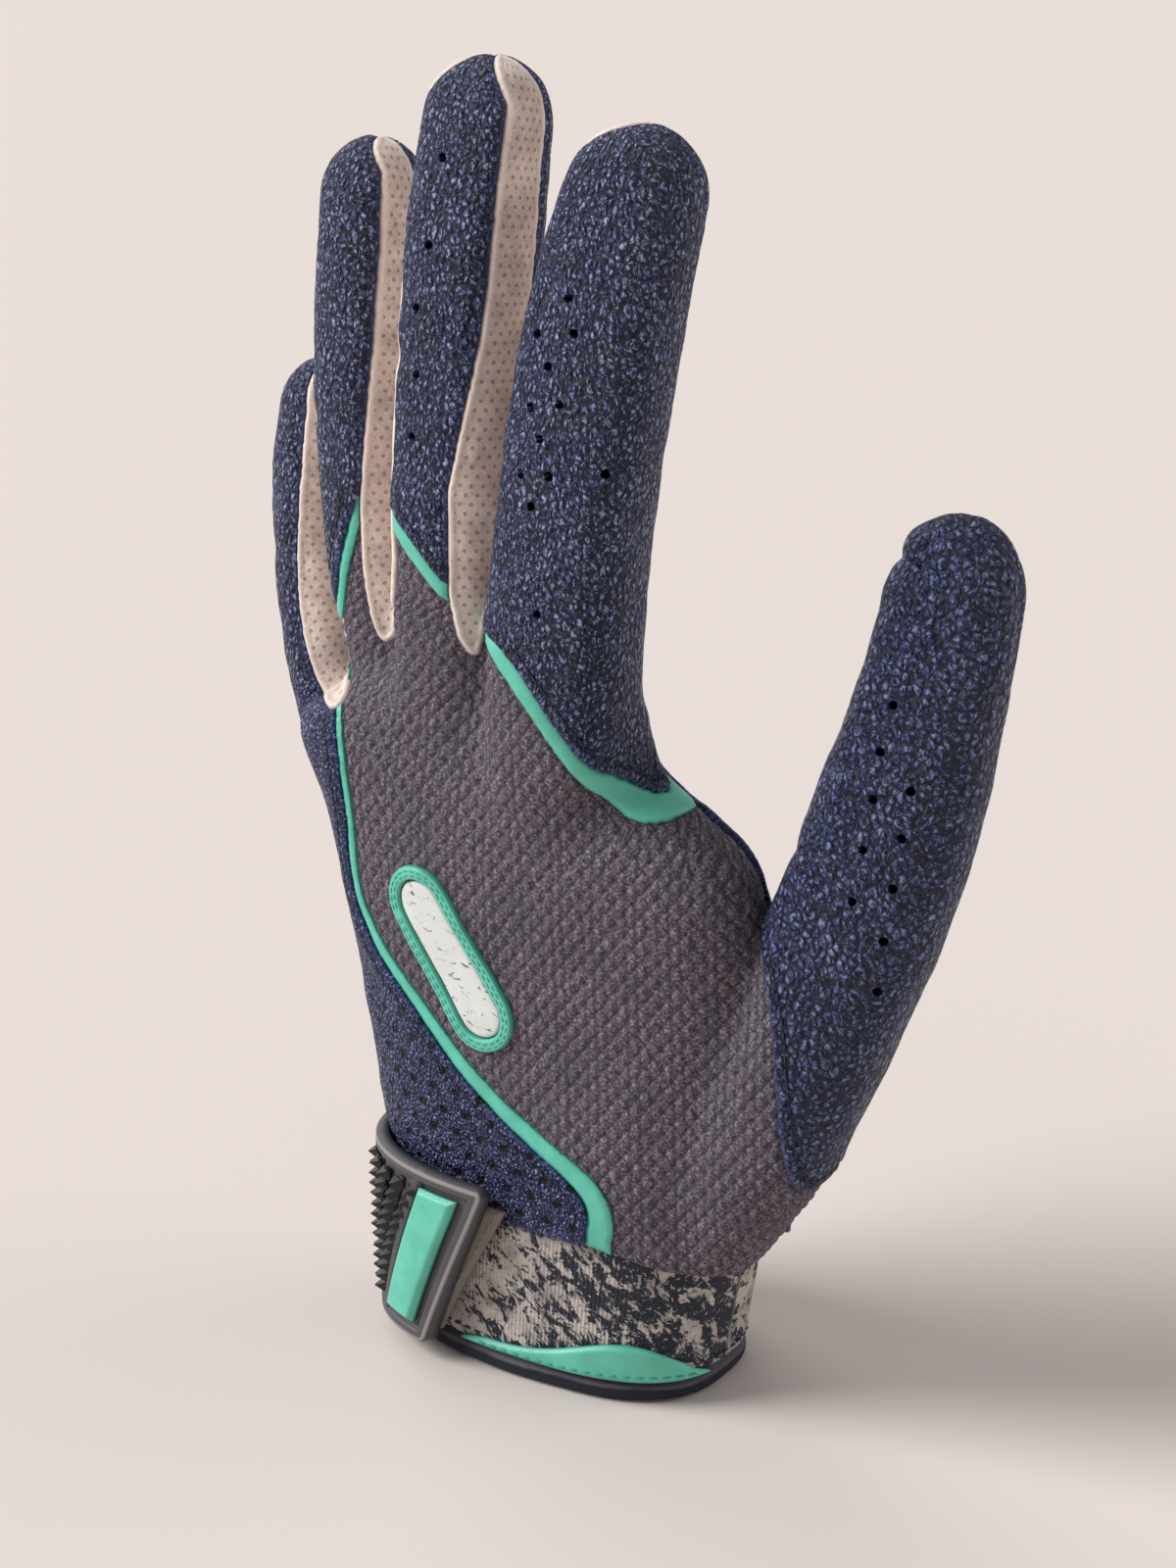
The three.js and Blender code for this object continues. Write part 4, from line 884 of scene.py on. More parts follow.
def piece_from_skin(skin, name):
    """One closed sheet of its real thickness: outer face, inner face and the wall round its edge."""
    triangles = skin.triangles[skin.label == CODE[name]]
    used, inverse = np.unique(triangles, return_inverse=True)
    triangles = inverse.reshape(-1, 3)
    place, normal = skin.get("place")[used], skin.get("normal")[used]
    normal = normal / np.linalg.norm(normal, axis=1)[:, None]
    rise = skin.get("rise." + str(KIND[CODE[name]]))[used]
    outer = place + normal * rise[:, None]
    inner = place - normal * LINING_DEPTH
    count = len(used)
    pairs, one, two = edge_table(triangles)
    rim = pairs[two < 0]
    owner = triangles[one[two < 0]]
    forward = ((owner == rim[:, :1]) & (np.roll(owner, -1, 1) == rim[:, 1:])).any(1)
    a, b = np.where(forward, rim[:, 0], rim[:, 1]), np.where(forward, rim[:, 1], rim[:, 0])
    walls = np.stack([b, a, a + count, b + count], 1)
    faces = [list(f) for group in (triangles, triangles[:, ::-1] + count, walls) for f in group]
    piece = mesh_object(name + "_skin", np.concatenate([outer, inner]), faces)
    mesh = piece.data
    twice = lambda values: np.concatenate([values, values])
    set_attribute(mesh, "rest", twice(place))
    for field in ("edge", "lap", "sewn", "lozenge", "weave"):
        set_attribute(mesh, field, twice(skin.get(field)[used]))
    digit = name.split("_")[0]
    if digit in digits:
        set_attribute(mesh, "unrolled", twice(skin.get(digit + ".uv")[used]))
    sharp = np.zeros(len(mesh.edges), bool)
    ends = np.empty(len(mesh.edges) * 2, np.int32)
    mesh.edges.foreach_get("vertices", ends)
    ends = np.sort(ends.reshape(-1, 2), axis=1)
    key = ends[:, 0].astype(np.int64) * (2 * count) + ends[:, 1]
    rims = np.sort(np.concatenate([rim, rim + count]), axis=1)
    sharp[np.isin(key, rims[:, 0].astype(np.int64) * (2 * count) + rims[:, 1])] = True
    mesh.attributes.new("sharp_edge", "BOOLEAN", "EDGE").data.foreach_set("value", sharp)
    return piece


def cut_hand():
    """The skin of the hand, cut along every seam and ready to be parted into pieces."""
    skin = Skin(*hand_surface())
    lay_fields(skin)
    imprint_seams(skin)
    label_faces(skin)
    mark_edges(skin)
    for level in EDGE_LEVELS:
        skin.imprint("edge", level=level, snap=0.1)
    skin.refine(KIND[skin.label] == KNIT_KIND)
    punch_holes(skin)
    skin.put("lozenge", lozenges(skin.get("weave")))
    for kind in (KNIT_KIND, TRIM_KIND, LEATHER_KIND, GUSSET_KIND):
        skin.put(f"rise.{kind}", rise_of(skin, kind))
    return skin


# Cuff: how far round its outline a place lies, in millimetres from the little-finger side towards the back
def cuff_point(angle, z, lift):
    t = np.clip(z, 0, CUFF_HEIGHT) / CUFF_HEIGHT
    half_width = (CUFF_WIDTH + (CUFF_TOP_WIDTH - CUFF_WIDTH) * t) / 2 + lift
    half_depth = (CUFF_DEPTH + (CUFF_TOP_DEPTH - CUFF_DEPTH) * t) / 2 + lift
    x, y = superellipse(angle, half_width, half_depth)
    return np.stack(np.broadcast_arrays(x + CUFF_TOP_SHIFT * t, y, z), -1)


CUFF_STEPS = 720
cuff_angles = np.linspace(0, 2 * np.pi, CUFF_STEPS + 1)
cuff_outline = cuff_point(cuff_angles, 0.0, 0.0)
cuff_lengths = np.r_[0, np.cumsum(np.linalg.norm(np.diff(cuff_outline, axis=0), axis=1))]


def on_cuff(along, z, lift):
    """The place at a length round the cuff, a height and a distance off it."""
    along, z, lift = np.broadcast_arrays(np.asarray(along, float), z, lift)
    whole = cuff_lengths[-1]
    angle = np.interp((cuff_lengths[CUFF_STEPS // 2] + along) % whole, cuff_lengths, cuff_angles)
    return cuff_point(angle, z, lift)


# How many faces say whether a slab is inside out
SAMPLE = 20


def slab(name, outer, inner, closed=False):
    """A closed sheet between two grids of points; a closed one runs all the way round."""
    rows, columns = outer.shape[:2]
    count = rows * columns
    i, k = np.meshgrid(np.arange(rows - 1), np.arange(columns if closed else columns - 1), indexing="ij")
    a, b = (i * columns + k).ravel(), (i * columns + (k + 1) % columns).ravel()
    quads = np.stack([a, b, b + columns, a + columns], 1)
    faces = [quads, quads[:, ::-1] + count]
    rims = [np.arange(columns), (rows - 1) * columns + np.arange(columns)[::-1]]
    if not closed:
        rims += [np.arange(rows)[::-1] * columns, np.arange(rows) * columns + columns - 1]
    for rim in rims:
        ends = np.stack([rim, np.roll(rim, -1)], 1)
        ends = ends if closed else ends[:-1]
        faces.append(np.stack([ends[:, 1], ends[:, 0], ends[:, 0] + count, ends[:, 1] + count], 1))
    points = np.concatenate([outer.reshape(-1, 3), inner.reshape(-1, 3)])
    piece = mesh_object(name, points, np.concatenate(faces))
    outward = outer.reshape(-1, 3) - inner.reshape(-1, 3)
    facing = np.array([p.normal for p in piece.data.polygons[:SAMPLE]])
    if (facing * outward[quads[:SAMPLE, 0]]).sum() < 0:
        piece.data.flip_normals()
    return piece


def mark_slab(piece, gap, along=None, z=None):
    """Lay the distance to the edge and, where given, the place round the cuff on both faces of a slab."""
    if along is not None:
        set_attribute(piece.data, "strip", np.tile(np.stack([along, z], -1).reshape(-1, 2), (2, 1)))
    set_attribute(piece.data, "edge", np.tile(gap.ravel(), 2))


def cuff_slab(name, start, end, low, high, inner, outer, columns=80, rows=30, soften=0.5):
    """A patch on the cuff between two ends, each slanted from its low to its high place, with soft edges."""
    u, v = np.meshgrid(np.linspace(0, 1, columns), np.linspace(0, 1, rows))
    u, v = ease_ends(u), ease_ends(v)
    along = (start[0] + (start[1] - start[0]) * v) * (1 - u) + (end[0] + (end[1] - end[0]) * v) * u
    z = low + (high - low) * v
    length, height = abs(end[0] - start[0]), high - low
    gap = np.minimum(np.minimum(u, 1 - u) * length, np.minimum(v, 1 - v) * height)
    lift = outer - soften * (outer - inner) * bell(gap, 0, 0.5)
    piece = slab(name, on_cuff(along, z, lift), on_cuff(along, z, inner))
    mark_slab(piece, gap, along, z)
    return piece


def ease_ends(x):
    """Even shares drawn a little to both ends, so that the edges have more rows."""
    return 0.5 + 0.5 * np.sin((x - 0.5) * np.pi) * 0.55 + (x - 0.5) * 0.45


# Colours
def tone(code):
    """A linear colour from its six-figure screen code."""
    parts = [int(code[i:i + 2], 16) / 255 for i in (0, 2, 4)]
    return tuple(p / 12.92 if p <= 0.04045 else ((p + 0.055) / 1.055) ** 2.4 for p in parts) + (1,)


# The leather's palest navy is painted highlight on its grain, and its darkest navy is painted shade in
# creases, grain lows and stitch grooves.
NAVY, NAVY_SHADE, NAVY_GREY, NAVY_HIGHLIGHT = tone("202e68"), tone("050a1c"), tone("434f84"), tone("a3acce")
TEAL, TEAL_DARK = tone("65cab2"), tone("359482")
# The suede's pale tone is its nap and also a painted highlight on the crest of the rolled edge.
SUEDE, SUEDE_SHADE, SUEDE_PALE_AND_HIGHLIGHT = tone("e4cfc4"), tone("b09a90"), tone("f6ebe3")
# The knit's gap colour is painted shade between the lozenges, and its dark yarn colour is also painted shade
# between the columns.
KNIT_TOP, KNIT_GAP_SHADE, KNIT_PALE, KNIT_DARK_YARN_AND_SHADE = tone("5c525e"), tone("1d1e2c"), tone("a79ba3"), tone("262431")
PRINT_PALE, PRINT_DARK = tone("cfc5be"), tone("131c2b")
# The rubber's pale tone is a painted highlight on the crest of the frame's border.
RUBBER, RUBBER_DARK, RUBBER_HIGHLIGHT, BLACK = tone("4d4a4f"), tone("38363b"), tone("8d8886"), tone("0f1013")
WHITE, WHITE_GREY = tone("dfe2e0"), tone("6f7478")
# Yarn of the knit: width of a column, height of a chevron and how far the column sways
KNIT_COLUMN, KNIT_CHEVRON, KNIT_SWAY = 2.1, 1.5, 0.5
# The side panel's holes: the angle that turns its slope to face back, their pitch and size, and the
# heights over which they begin
SIDE_PANEL_TURN, SIDE_HOLES, SIDE_HOLE_HEIGHTS = 0.64, (4.7, 1.5), (84.0, 60.0)
# How far in from its edge the frame's pale line of painted highlight lies
FRAME_CREST = 0.75
# The gussets' fine holes, and the step from one row of a staggered pattern to the second next
GUSSET_HOLES, ROW_STEP = (1.9, 0.62), 1.732


class Look:
    """A procedural material, built from a few kinds of node."""

    def __init__(self, name, roughness=0.6, **fixed):
        self.material = bpy.data.materials.new(name)
        self.material.use_nodes = True
        self.tree = self.material.node_tree
        self.shader = self.tree.nodes["Principled BSDF"]
        self.shader.inputs["Roughness"].default_value = roughness
        for socket, value in fixed.items():
            self.shader.inputs[socket.replace("_", " ")].default_value = value

    def add(self, kind, inputs=None, out=0, **settings):
        node = self.tree.nodes.new("ShaderNode" + kind)
        for key, value in settings.items():
            setattr(node, key, value)
        for key, value in (inputs or {}).items():
            if isinstance(value, bpy.types.NodeSocket):
                self.tree.links.new(value, node.inputs[key])
            else:
                node.inputs[key].default_value = value
        return node.outputs[out]

    def math(self, operation, a, b=0.0):
        return self.add("Math", {0: a, 1: b}, operation=operation)

    def plus(self, a, b):
        return self.math("ADD", a, b)

    def minus(self, a, b):
        return self.math("SUBTRACT", a, b)

    def times(self, a, b):
        return self.math("MULTIPLY", a, b)

    def ramp(self, value, low, high, start=0.0, end=1.0):
        inputs = {"Value": value, "From Min": low, "From Max": high, "To Min": start, "To Max": end}
        return self.add("MapRange", inputs, interpolation_type="SMOOTHSTEP")

    def mix(self, share, a, b):
        return self.add("Mix", {0: share, 6: a, 7: b}, out=2, data_type="RGBA")

    def field(self, name):
        return self.add("Attribute", out="Fac", attribute_name=name)

    def place(self, name="rest"):
        return self.add("Attribute", out="Vector", attribute_name=name)

    def near(self, name, distance, inner, outer, strength):
        """A share that is full where a field has one value and gone beyond an outer distance from it."""
        gap = self.math("ABSOLUTE", self.minus(self.field(name), distance))
        return self.ramp(gap, inner, outer, strength, 0)

    def scaled(self, vector, sizes):
        return self.add("VectorMath", {0: vector, 1: tuple(1 / s for s in sizes)}, operation="MULTIPLY")

    def noise(self, vector, size, detail=3.0, roughness=0.5, distortion=0.0):
        inputs = {"Vector": vector, "Scale": 1 / size, "Detail": detail, "Roughness": roughness,
                  "Distortion": distortion}
        return self.add("TexNoise", inputs)

    def cells(self, vector, feature="F1"):
        return self.add("TexVoronoi", {"Vector": vector, "Scale": 1.0}, out="Distance", feature=feature)

    def finish(self, colour, height=None, depth=0.3, roughness=None):
        """Join colour, relief in millimetres and roughness to the shader."""
        self.tree.links.new(colour, self.shader.inputs["Base Color"])
        if height is not None:
            bump = self.add("Bump", {"Height": height, "Distance": depth * MM, "Strength": 1.0})
            self.tree.links.new(bump, self.shader.inputs["Normal"])
        if roughness is not None:
            self.tree.links.new(roughness, self.shader.inputs["Roughness"])
        return self.material


def leather_look(name, cell, relief, painted_highlight=0.9, punched=False):
    """Pebbled navy leather: fine domed cells with painted shade in the creases, grain lows and stitch
    grooves, painted highlights on the grain, and rubbed edges.
    """
    look = Look(name, 0.42, Specular_IOR_Level=0.25 if punched else 0.4)
    rest = look.place()
    warp = look.add("TexNoise", {"Vector": rest, "Scale": 0.5, "Detail": 1.0}, out="Color")
    bent = look.add("VectorMath", {0: warp, 1: rest}, operation="ADD")
    at = look.scaled(bent, cell)
    dome = look.ramp(look.cells(at), 0.75, 0.05)
    crease = look.ramp(look.cells(at, "DISTANCE_TO_EDGE"), 0.02, 0.17, 1, 0)
    grain = look.noise(look.scaled(bent, tuple(c * 0.5 for c in cell)), 1.0, 3.0, 0.75)
    height = look.plus(dome, look.times(grain, 0.7))
    height = look.minus(height, look.times(crease, 0.3))
    wear = look.noise(rest, 9.0, 4.0, 0.65)
    base = look.mix(look.times(look.ramp(wear, 0.42, 0.66), 0.7), NAVY, NAVY_GREY)
    # Painted highlights: pale specks on the high points of the grain stand in for its glints.
    base = look.mix(look.ramp(grain, 0.52, 0.61, 0, painted_highlight), base, NAVY_HIGHLIGHT)
    # Painted shade: the grain's low points and the creases between the cells are darkened.
    base = look.mix(look.ramp(grain, 0.42, 0.51, 1, 0), base, NAVY_SHADE)
    base = look.mix(look.times(crease, 0.9), base, NAVY_SHADE)
    base = look.mix(look.near("edge", 0, 0.1, 0.9, 0.45), base, NAVY_GREY)
    # Painted shade in the stitched groove of a lapped edge.
    base = look.mix(look.near("lap", LAP_STITCH, 0.1, 0.55, 0.6), base, NAVY_SHADE)
    if punched:
        turned = look.add("VectorRotate", {"Vector": rest, "Angle": SIDE_PANEL_TURN}, rotation_type="Z_AXIS")
        across, up = (look.add("SeparateXYZ", {0: turned}, out=i) for i in (0, 2))
        dots = punched_dots(look, *SIDE_HOLES, look.add("CombineXYZ", {0: across, 1: up}))
        area = look.times(dots, look.ramp(up, *SIDE_HOLE_HEIGHTS))
        # Painted shade: the holes are filled with near black.
        base = look.mix(area, base, tone("06080c"))
        height = look.minus(height, look.times(area, 2.2))
    roughness = look.ramp(look.plus(dome, look.times(wear, 0.5)), 0.2, 1.3, 0.6, 0.27)
    return look.finish(base, height, relief, roughness)


def punched_dots(look, pitch, size, at):
    """One inside each small hole of a staggered pattern, zero elsewhere."""
    both, rows = [], pitch * ROW_STEP
    for shift in (0.0, 0.5):
        cell = at
        for operation, vector in (("MULTIPLY", (1 / pitch, 1 / rows, 1)), ("ADD", (shift, shift, 0)),
                                  ("FRACTION", (0, 0, 0)), ("SUBTRACT", (0.5, 0.5, 0)),
                                  ("MULTIPLY", (pitch, rows, 0))):
            cell = look.add("VectorMath", {0: cell, 1: vector}, operation=operation)
        both.append(look.add("VectorMath", {0: cell}, out="Value", operation="LENGTH"))
    return look.ramp(look.math("MINIMUM", *both), size * 0.35, size * 0.65, 1.0, 0.0)


def knit_look():
    """Knitted back: soft lozenges with painted shade in the gaps between them, and fine speckled yarn in
    zigzag columns with painted shade between the columns.
    """
    look = Look("knit_back", 0.85)
    rest, height_map = look.place(), look.field("lozenge")
    weave = look.place("weave")
    across, up = (look.add("SeparateXYZ", {0: weave}, out=i) for i in (0, 1))
    zigzag = look.math("ABSOLUTE", look.math("SINE", look.times(up, math.pi / KNIT_CHEVRON)))
    swayed = look.plus(across, look.times(zigzag, KNIT_SWAY))
    column = look.math("SINE", look.times(swayed, 2 * math.pi / KNIT_COLUMN))
    yarn = look.noise(rest, 0.5, 3.0, 0.8)
    patch = look.noise(rest, 14.0, 3.0, 0.6)
    top = look.mix(look.ramp(yarn, 0.48, 0.64, 0, 0.85), KNIT_TOP, KNIT_PALE)
    top = look.mix(look.ramp(yarn, 0.36, 0.48, 0.8, 0), top, KNIT_DARK_YARN_AND_SHADE)
    # Painted shade in the grooves between the columns of yarn.
    top = look.mix(look.ramp(column, -1, 0.1, 0.5, 0), top, KNIT_DARK_YARN_AND_SHADE)
    # Painted shade in the gaps between the lozenges.
    base = look.mix(look.ramp(height_map, 0.02, 0.5, 0.75, 0), top, KNIT_GAP_SHADE)
    base = look.mix(look.ramp(patch, 0.35, 0.75, 0, 0.3), base, tone("3a3641"))
    height = look.plus(look.times(column, 0.3), look.times(yarn, 1.2))
    height = look.plus(height, look.times(height_map, 1.3))
    return look.finish(base, height, 0.2)


def suede_look():
    """Punched suede with a nap, painted shade in its holes, a pale rolled edge that is a painted highlight,
    and a dark seam.
    """
    look = Look("fourchette_suede", 0.95, Sheen_Weight=0.25)
    rest = look.place()
    cloud = look.noise(rest, 6.0, 4.0, 0.6)
    nap = look.noise(rest, 0.5, 3.0, 0.7)
    base = look.mix(look.ramp(cloud, 0.3, 0.75), SUEDE, SUEDE_SHADE)
    base = look.mix(look.ramp(nap, 0.35, 0.75, 0, 0.45), base, SUEDE_PALE_AND_HIGHLIGHT)
    dots = punched_dots(look, *GUSSET_HOLES, look.place("unrolled"))
    dots = look.times(dots, look.ramp(look.field("edge"), 1.4, 1.9))
    # Painted shade: the perforations are darkened.
    base = look.mix(look.times(dots, 0.5), base, tone("6d605a"))
    # Painted highlight along the crest of the rolled edge.
    base = look.mix(look.near("edge", GUSSET_ROLL, 0.1, 0.7, 0.6), base, SUEDE_PALE_AND_HIGHLIGHT)
    base = look.mix(look.near("edge", 0, 0.0, 0.5, 0.75), base, tone("3c3836"))
    height = look.minus(nap, look.times(dots, 1.5))
    return look.finish(base, height, 0.16)


def smooth_look(name, colour, shade, roughness=0.42, size=0.7):
    """Rubber or thread: one colour with a cloudy shade and darker edges."""
    look = Look(name, roughness)
    rest = look.place()
    grain = look.noise(rest, size, 3.0, 0.6)
    cloud = look.noise(rest, 8.0, 3.0, 0.6)
    base = look.mix(look.ramp(cloud, 0.35, 0.8, 0, 0.4), colour, shade)
    base = look.mix(look.near("edge", 0, 0.0, 0.45, 0.55), base, shade)
    return look.finish(base, grain, 0.05, look.ramp(grain, 0.2, 0.8, roughness - 0.06, roughness + 0.1))


def print_look():
    """Knitted cuff band with a splattered print that thickens to the thumb side."""
    look = Look("printed_cuff", 0.8)
    strip = look.place("strip")
    apart = look.add("SeparateXYZ", {0: strip})
    weave = look.math("SINE", look.times(apart, 2 * math.pi / 0.8))
    leaning = look.add("VectorRotate", {"Vector": strip, "Angle": 0.9}, rotation_type="Z_AXIS")
    blotch = look.noise(look.scaled(leaning, (5.6, 2.9, 1)), 1.0, 6.0, 0.74, 0.5)
    dense = look.ramp(apart, 30.0, 74.0, 0.535, 0.455)
    dark = look.ramp(look.minus(blotch, dense), 0.0, 0.012)
    drops = look.ramp(look.noise(strip, 1.1, 3.0, 0.7), 0.6, 0.615)
    light = look.ramp(look.noise(look.scaled(strip, (1.2, 0.9, 1)), 1.0, 3.0, 0.7), 0.62, 0.64)
    cloud = look.noise(strip, 6.0, 3.0, 0.6)
    pale = look.mix(look.ramp(cloud, 0.3, 0.8), PRINT_PALE, tone("8f8683"))
    base = look.mix(look.times(drops, 0.9), pale, PRINT_DARK)
    deep = look.mix(light, PRINT_DARK, pale)
    base = look.mix(dark, base, deep)
    yarn = look.noise(strip, 0.35, 2.0, 0.6)
    base = look.mix(look.ramp(yarn, 0.3, 0.8, 0, 0.25), base, tone("4a4a52"))
    height = look.plus(look.times(weave, 0.5), yarn)
    return look.finish(base, height, 0.12)


def lining_look():
    """Dark cloth with a fine mesh."""
    look = Look("dark_lining", 0.9)
    rest = look.place()
    mesh = look.cells(look.scaled(rest, (0.9, 0.9, 0.9)))
    base = look.mix(look.ramp(mesh, 0.2, 0.6), tone("1b2030"), tone("0c0f18"))
    return look.finish(base, mesh, 0.12)


def fuzz_look(name, colour, shade):
    """Short upright hair."""
    look = Look(name, 0.95)
    rest = look.place()
    hair = look.noise(rest, 0.25, 4.0, 0.8, 1.2)
    return look.finish(look.mix(look.ramp(hair, 0.3, 0.7), shade, colour), hair, 0.35)


def hem_look():
    """Soft tape: dark where it turns in, a greyer fold along the band."""
    look = Look("hem_tape", 0.95)
    rest = look.place()
    hair = look.noise(rest, 0.3, 4.0, 0.8, 1.0)
    up = look.add("SeparateXYZ", {0: rest}, out=2)
    wavy = look.plus(up, look.noise(rest, 6.0, 2.0, 0.5))
    fold = look.ramp(wavy, 3.2, 3.9)
    base = look.mix(look.ramp(hair, 0.3, 0.7), tone("161a26"), tone("252a3a"))
    return look.finish(look.mix(fold, base, tone("6d6772")), hair, 0.3)


def rubber_look(name, colour, shade, pale):
    """Moulded rubber with a pale line of painted highlight along the crest of its border."""
    look = Look(name, 0.55)
    rest = look.place()
    cloud = look.noise(rest, 5.0, 3.0, 0.6)
    base = look.mix(look.ramp(cloud, 0.3, 0.8, 0, 0.35), colour, shade)
    # Painted highlight along the crest of the raised border.
    base = look.mix(look.near("edge", FRAME_CREST, 0.2, 0.5, 0.95), base, pale)
    return look.finish(base, look.noise(rest, 0.35, 2.0, 0.7), 0.06)


def inlay_look():
    """A pale plate, worn dark in places."""
    look = Look("pale_inlay", 0.5)
    rest = look.place()
    marks = look.noise(look.scaled(rest, (2.6, 2.6, 1.1)), 1.0, 5.0, 0.75, 0.8)
    worn = look.ramp(marks, 0.6, 0.63)
    base = look.mix(worn, WHITE, WHITE_GREY)
    base = look.mix(look.near("edge", 0, 0.0, 0.5, 0.5), base, tone("2b3140"))
    return look.finish(base, look.minus(1.0, worn), 0.12)


# Stitches: short threads laid along a line
STITCH_STEP, STITCH_LENGTH, STITCH_RADIUS, STITCH_LIFT = 2.3, 1.5, 0.24, 0.16
# Share along a thread and how full it is there
THREAD_PROFILE = [(0.0, 0.25), (0.12, 0.8), (0.5, 1.0), (0.88, 0.8), (1.0, 0.25)]


def chains(pairs):
    """Join edges end to end into runs of vertices."""
    links = {}
    for a, b in pairs:
        links.setdefault(int(a), []).append(int(b))
        links.setdefault(int(b), []).append(int(a))
    runs, used = [], set()
    starts = [v for v, n in links.items() if len(n) != 2] + list(links)
    for start in starts:
        for step in links[start]:
            if (start, step) in used:
                continue
            run, last, here = [start], start, step
            while True:
                used.update([(last, here), (here, last)])
                run.append(here)
                onward = [v for v in links[here] if v != last and (here, v) not in used]
                if len(links[here]) != 2 or not onward:
                    break
                last, here = here, onward[0]
            runs.append(run)
    return runs


def stitch_row(points, normals, step=STITCH_STEP, length=STITCH_LENGTH, radius=STITCH_RADIUS):
    """Places and frames of the threads along one line."""
    gaps = np.linalg.norm(np.diff(points, axis=0), axis=1)
    run = np.r_[0, np.cumsum(gaps)]
    if run[-1] < step * 2:
        return []
    middle = np.arange(step * 0.7, run[-1] - step * 0.3, step)
    at = lambda s: np.stack([np.interp(s, run, points[:, k]) for k in range(3)], 1)
    lift = np.stack([np.interp(middle, run, normals[:, k]) for k in range(3)], 1)
    return list(zip(at(middle - length / 2), at(middle + length / 2), lift, [radius] * len(middle)))


def thread_mesh(name, rows, around=6):
    points, faces = [], []
    for a, b, up, radius in rows:
        along = b - a
        side = np.cross(along, up)
        side /= max(np.linalg.norm(side), 1e-9)
        up = np.cross(side, along)
        up /= max(np.linalg.norm(up), 1e-9)
        first = len(points)
        for share, size in THREAD_PROFILE:
            for k in range(around):
                turn = 2 * math.pi * k / around
                out = side * math.cos(turn) + up * math.sin(turn)
                points.append(a + along * share + radius * size * out)
        for r in range(len(THREAD_PROFILE) - 1):
            for k in range(around):
                i, j = first + r * around + k, first + r * around + (k + 1) % around
                faces.append([i, j, j + around, i + around])
        faces.append([first + k for k in range(around)][::-1])
        faces.append([first + (len(THREAD_PROFILE) - 1) * around + k for k in range(around)])
    piece = mesh_object(name, np.array(points), faces)
    set_attribute(piece.data, "rest", np.array(points))
    return piece


def skin_stitches(skin, name):
    """Threads along the line at the stitches' distance from a piece's lapped edge."""
    pairs = skin.edges(skin.label == CODE[name])
    edge, lap = skin.get("edge")[pairs], skin.get("lap")[pairs]
    on_line = (np.abs(edge - LAP_STITCH) < 1e-6).all(1) & (lap < LAP_STITCH + 0.25).all(1)
    place, normal = skin.get("place"), skin.get("normal")
    rise = skin.get(f"rise.{KIND[CODE[name]]}")
    rows = []
    for run in chains(pairs[on_line]):
        line = place[run] + normal[run] * (rise[run] + STITCH_LIFT)[:, None]
        if len(run) > 4:
            line[1:-1] = (line[:-2] + 2 * line[1:-1] + line[2:]) / 4
        rows += stitch_row(line, normal[run])
    return thread_mesh(f"{name}_stitches", rows) if rows else None


# Punched holes through the leather: places on the skin
HOLES = {
    "thumb_back": [(70.7, -7, 143.5), (69.4, -8.7, 135.3), (69, -10.2, 127.2), (75.4, -8.9, 129.5),
                   (74.5, -10.1, 121.2), (68.1, -11.7, 118.2), (67, -13, 109.1), (73.6, -11.2, 112.2),
                   (72.4, -11.9, 102.7), (71.2, -11.9, 93.2)],
    "index_back": [(15.3, -23.7, 209.9), (9.7, -24.4, 203.1), (17.1, -24.7, 204.1), (12.6, -25.7, 198.1),
                   (9.4, -26.4, 190.8), (15.3, -26.4, 192), (11.8, -27.2, 185.7), (8.1, -27.5, 179.2),
                   (13.9, -27.6, 179.7), (23, -24.9, 180.8), (10.5, -28.1, 174), (12, -28.6, 155.2)],
    "middle_back": [(-15.7, -17, 229.5), (-16.5, -20, 214.7), (-18.3, -21.4, 203.6), (-17.7, -22.8, 192.2),
                    (-18.2, -23.6, 181.2)],
}
HOLE_RADIUS, HOLE_NEAR = 0.85, 2.6


def hole_distance(skin):
    """Distance from the axis of the nearest hole."""
    place, normal = skin.get("place"), skin.get("normal")
    best = np.full(len(place), FAR)
    for centre in np.concatenate(list(HOLES.values())):
        offset = place - centre
        near = np.flatnonzero((np.abs(offset) < HOLE_NEAR * 2).all(1))
        depth = (offset[near] * normal[near]).sum(1)
        aside = np.linalg.norm(offset[near] - normal[near] * depth[:, None], axis=1)
        best[near] = np.minimum(best[near], aside)
    return best


def punch_holes(skin):
    skin.put("hole", hole_distance(skin))
    skin.refine(skin.face("hole") < HOLE_NEAR)
    skin.put("hole", hole_distance(skin))
    skin.imprint("hole", skin.face("hole") < HOLE_NEAR, level=HOLE_RADIUS, snap=0.06)
    skin.keep(skin.face("hole") > HOLE_RADIUS)


def bend_with(piece, body):
    """The piece's place is baked into its mesh, the same for every body."""
    if body == "thumb":
        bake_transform(piece)
        return
    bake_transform(piece)


# The body named for each piece of the hand's own skin; with none, the piece is attached to the hand
FOLLOWS = {"back_panel": "thumb", "palm_leather": "thumb", "knit_middle": "middle", "knit_ring": "ring",
           "ulnar_side_panel": None, "ulnar_trim": None, "index_trim": None, "middle_trim": "middle",
           "ring_trim": "ring"}


def follow(piece, name):
    body = FOLLOWS.get(name, name.split("_")[0])
    if body:
        bend_with(piece, body)
    else:
        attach(piece, "hand")


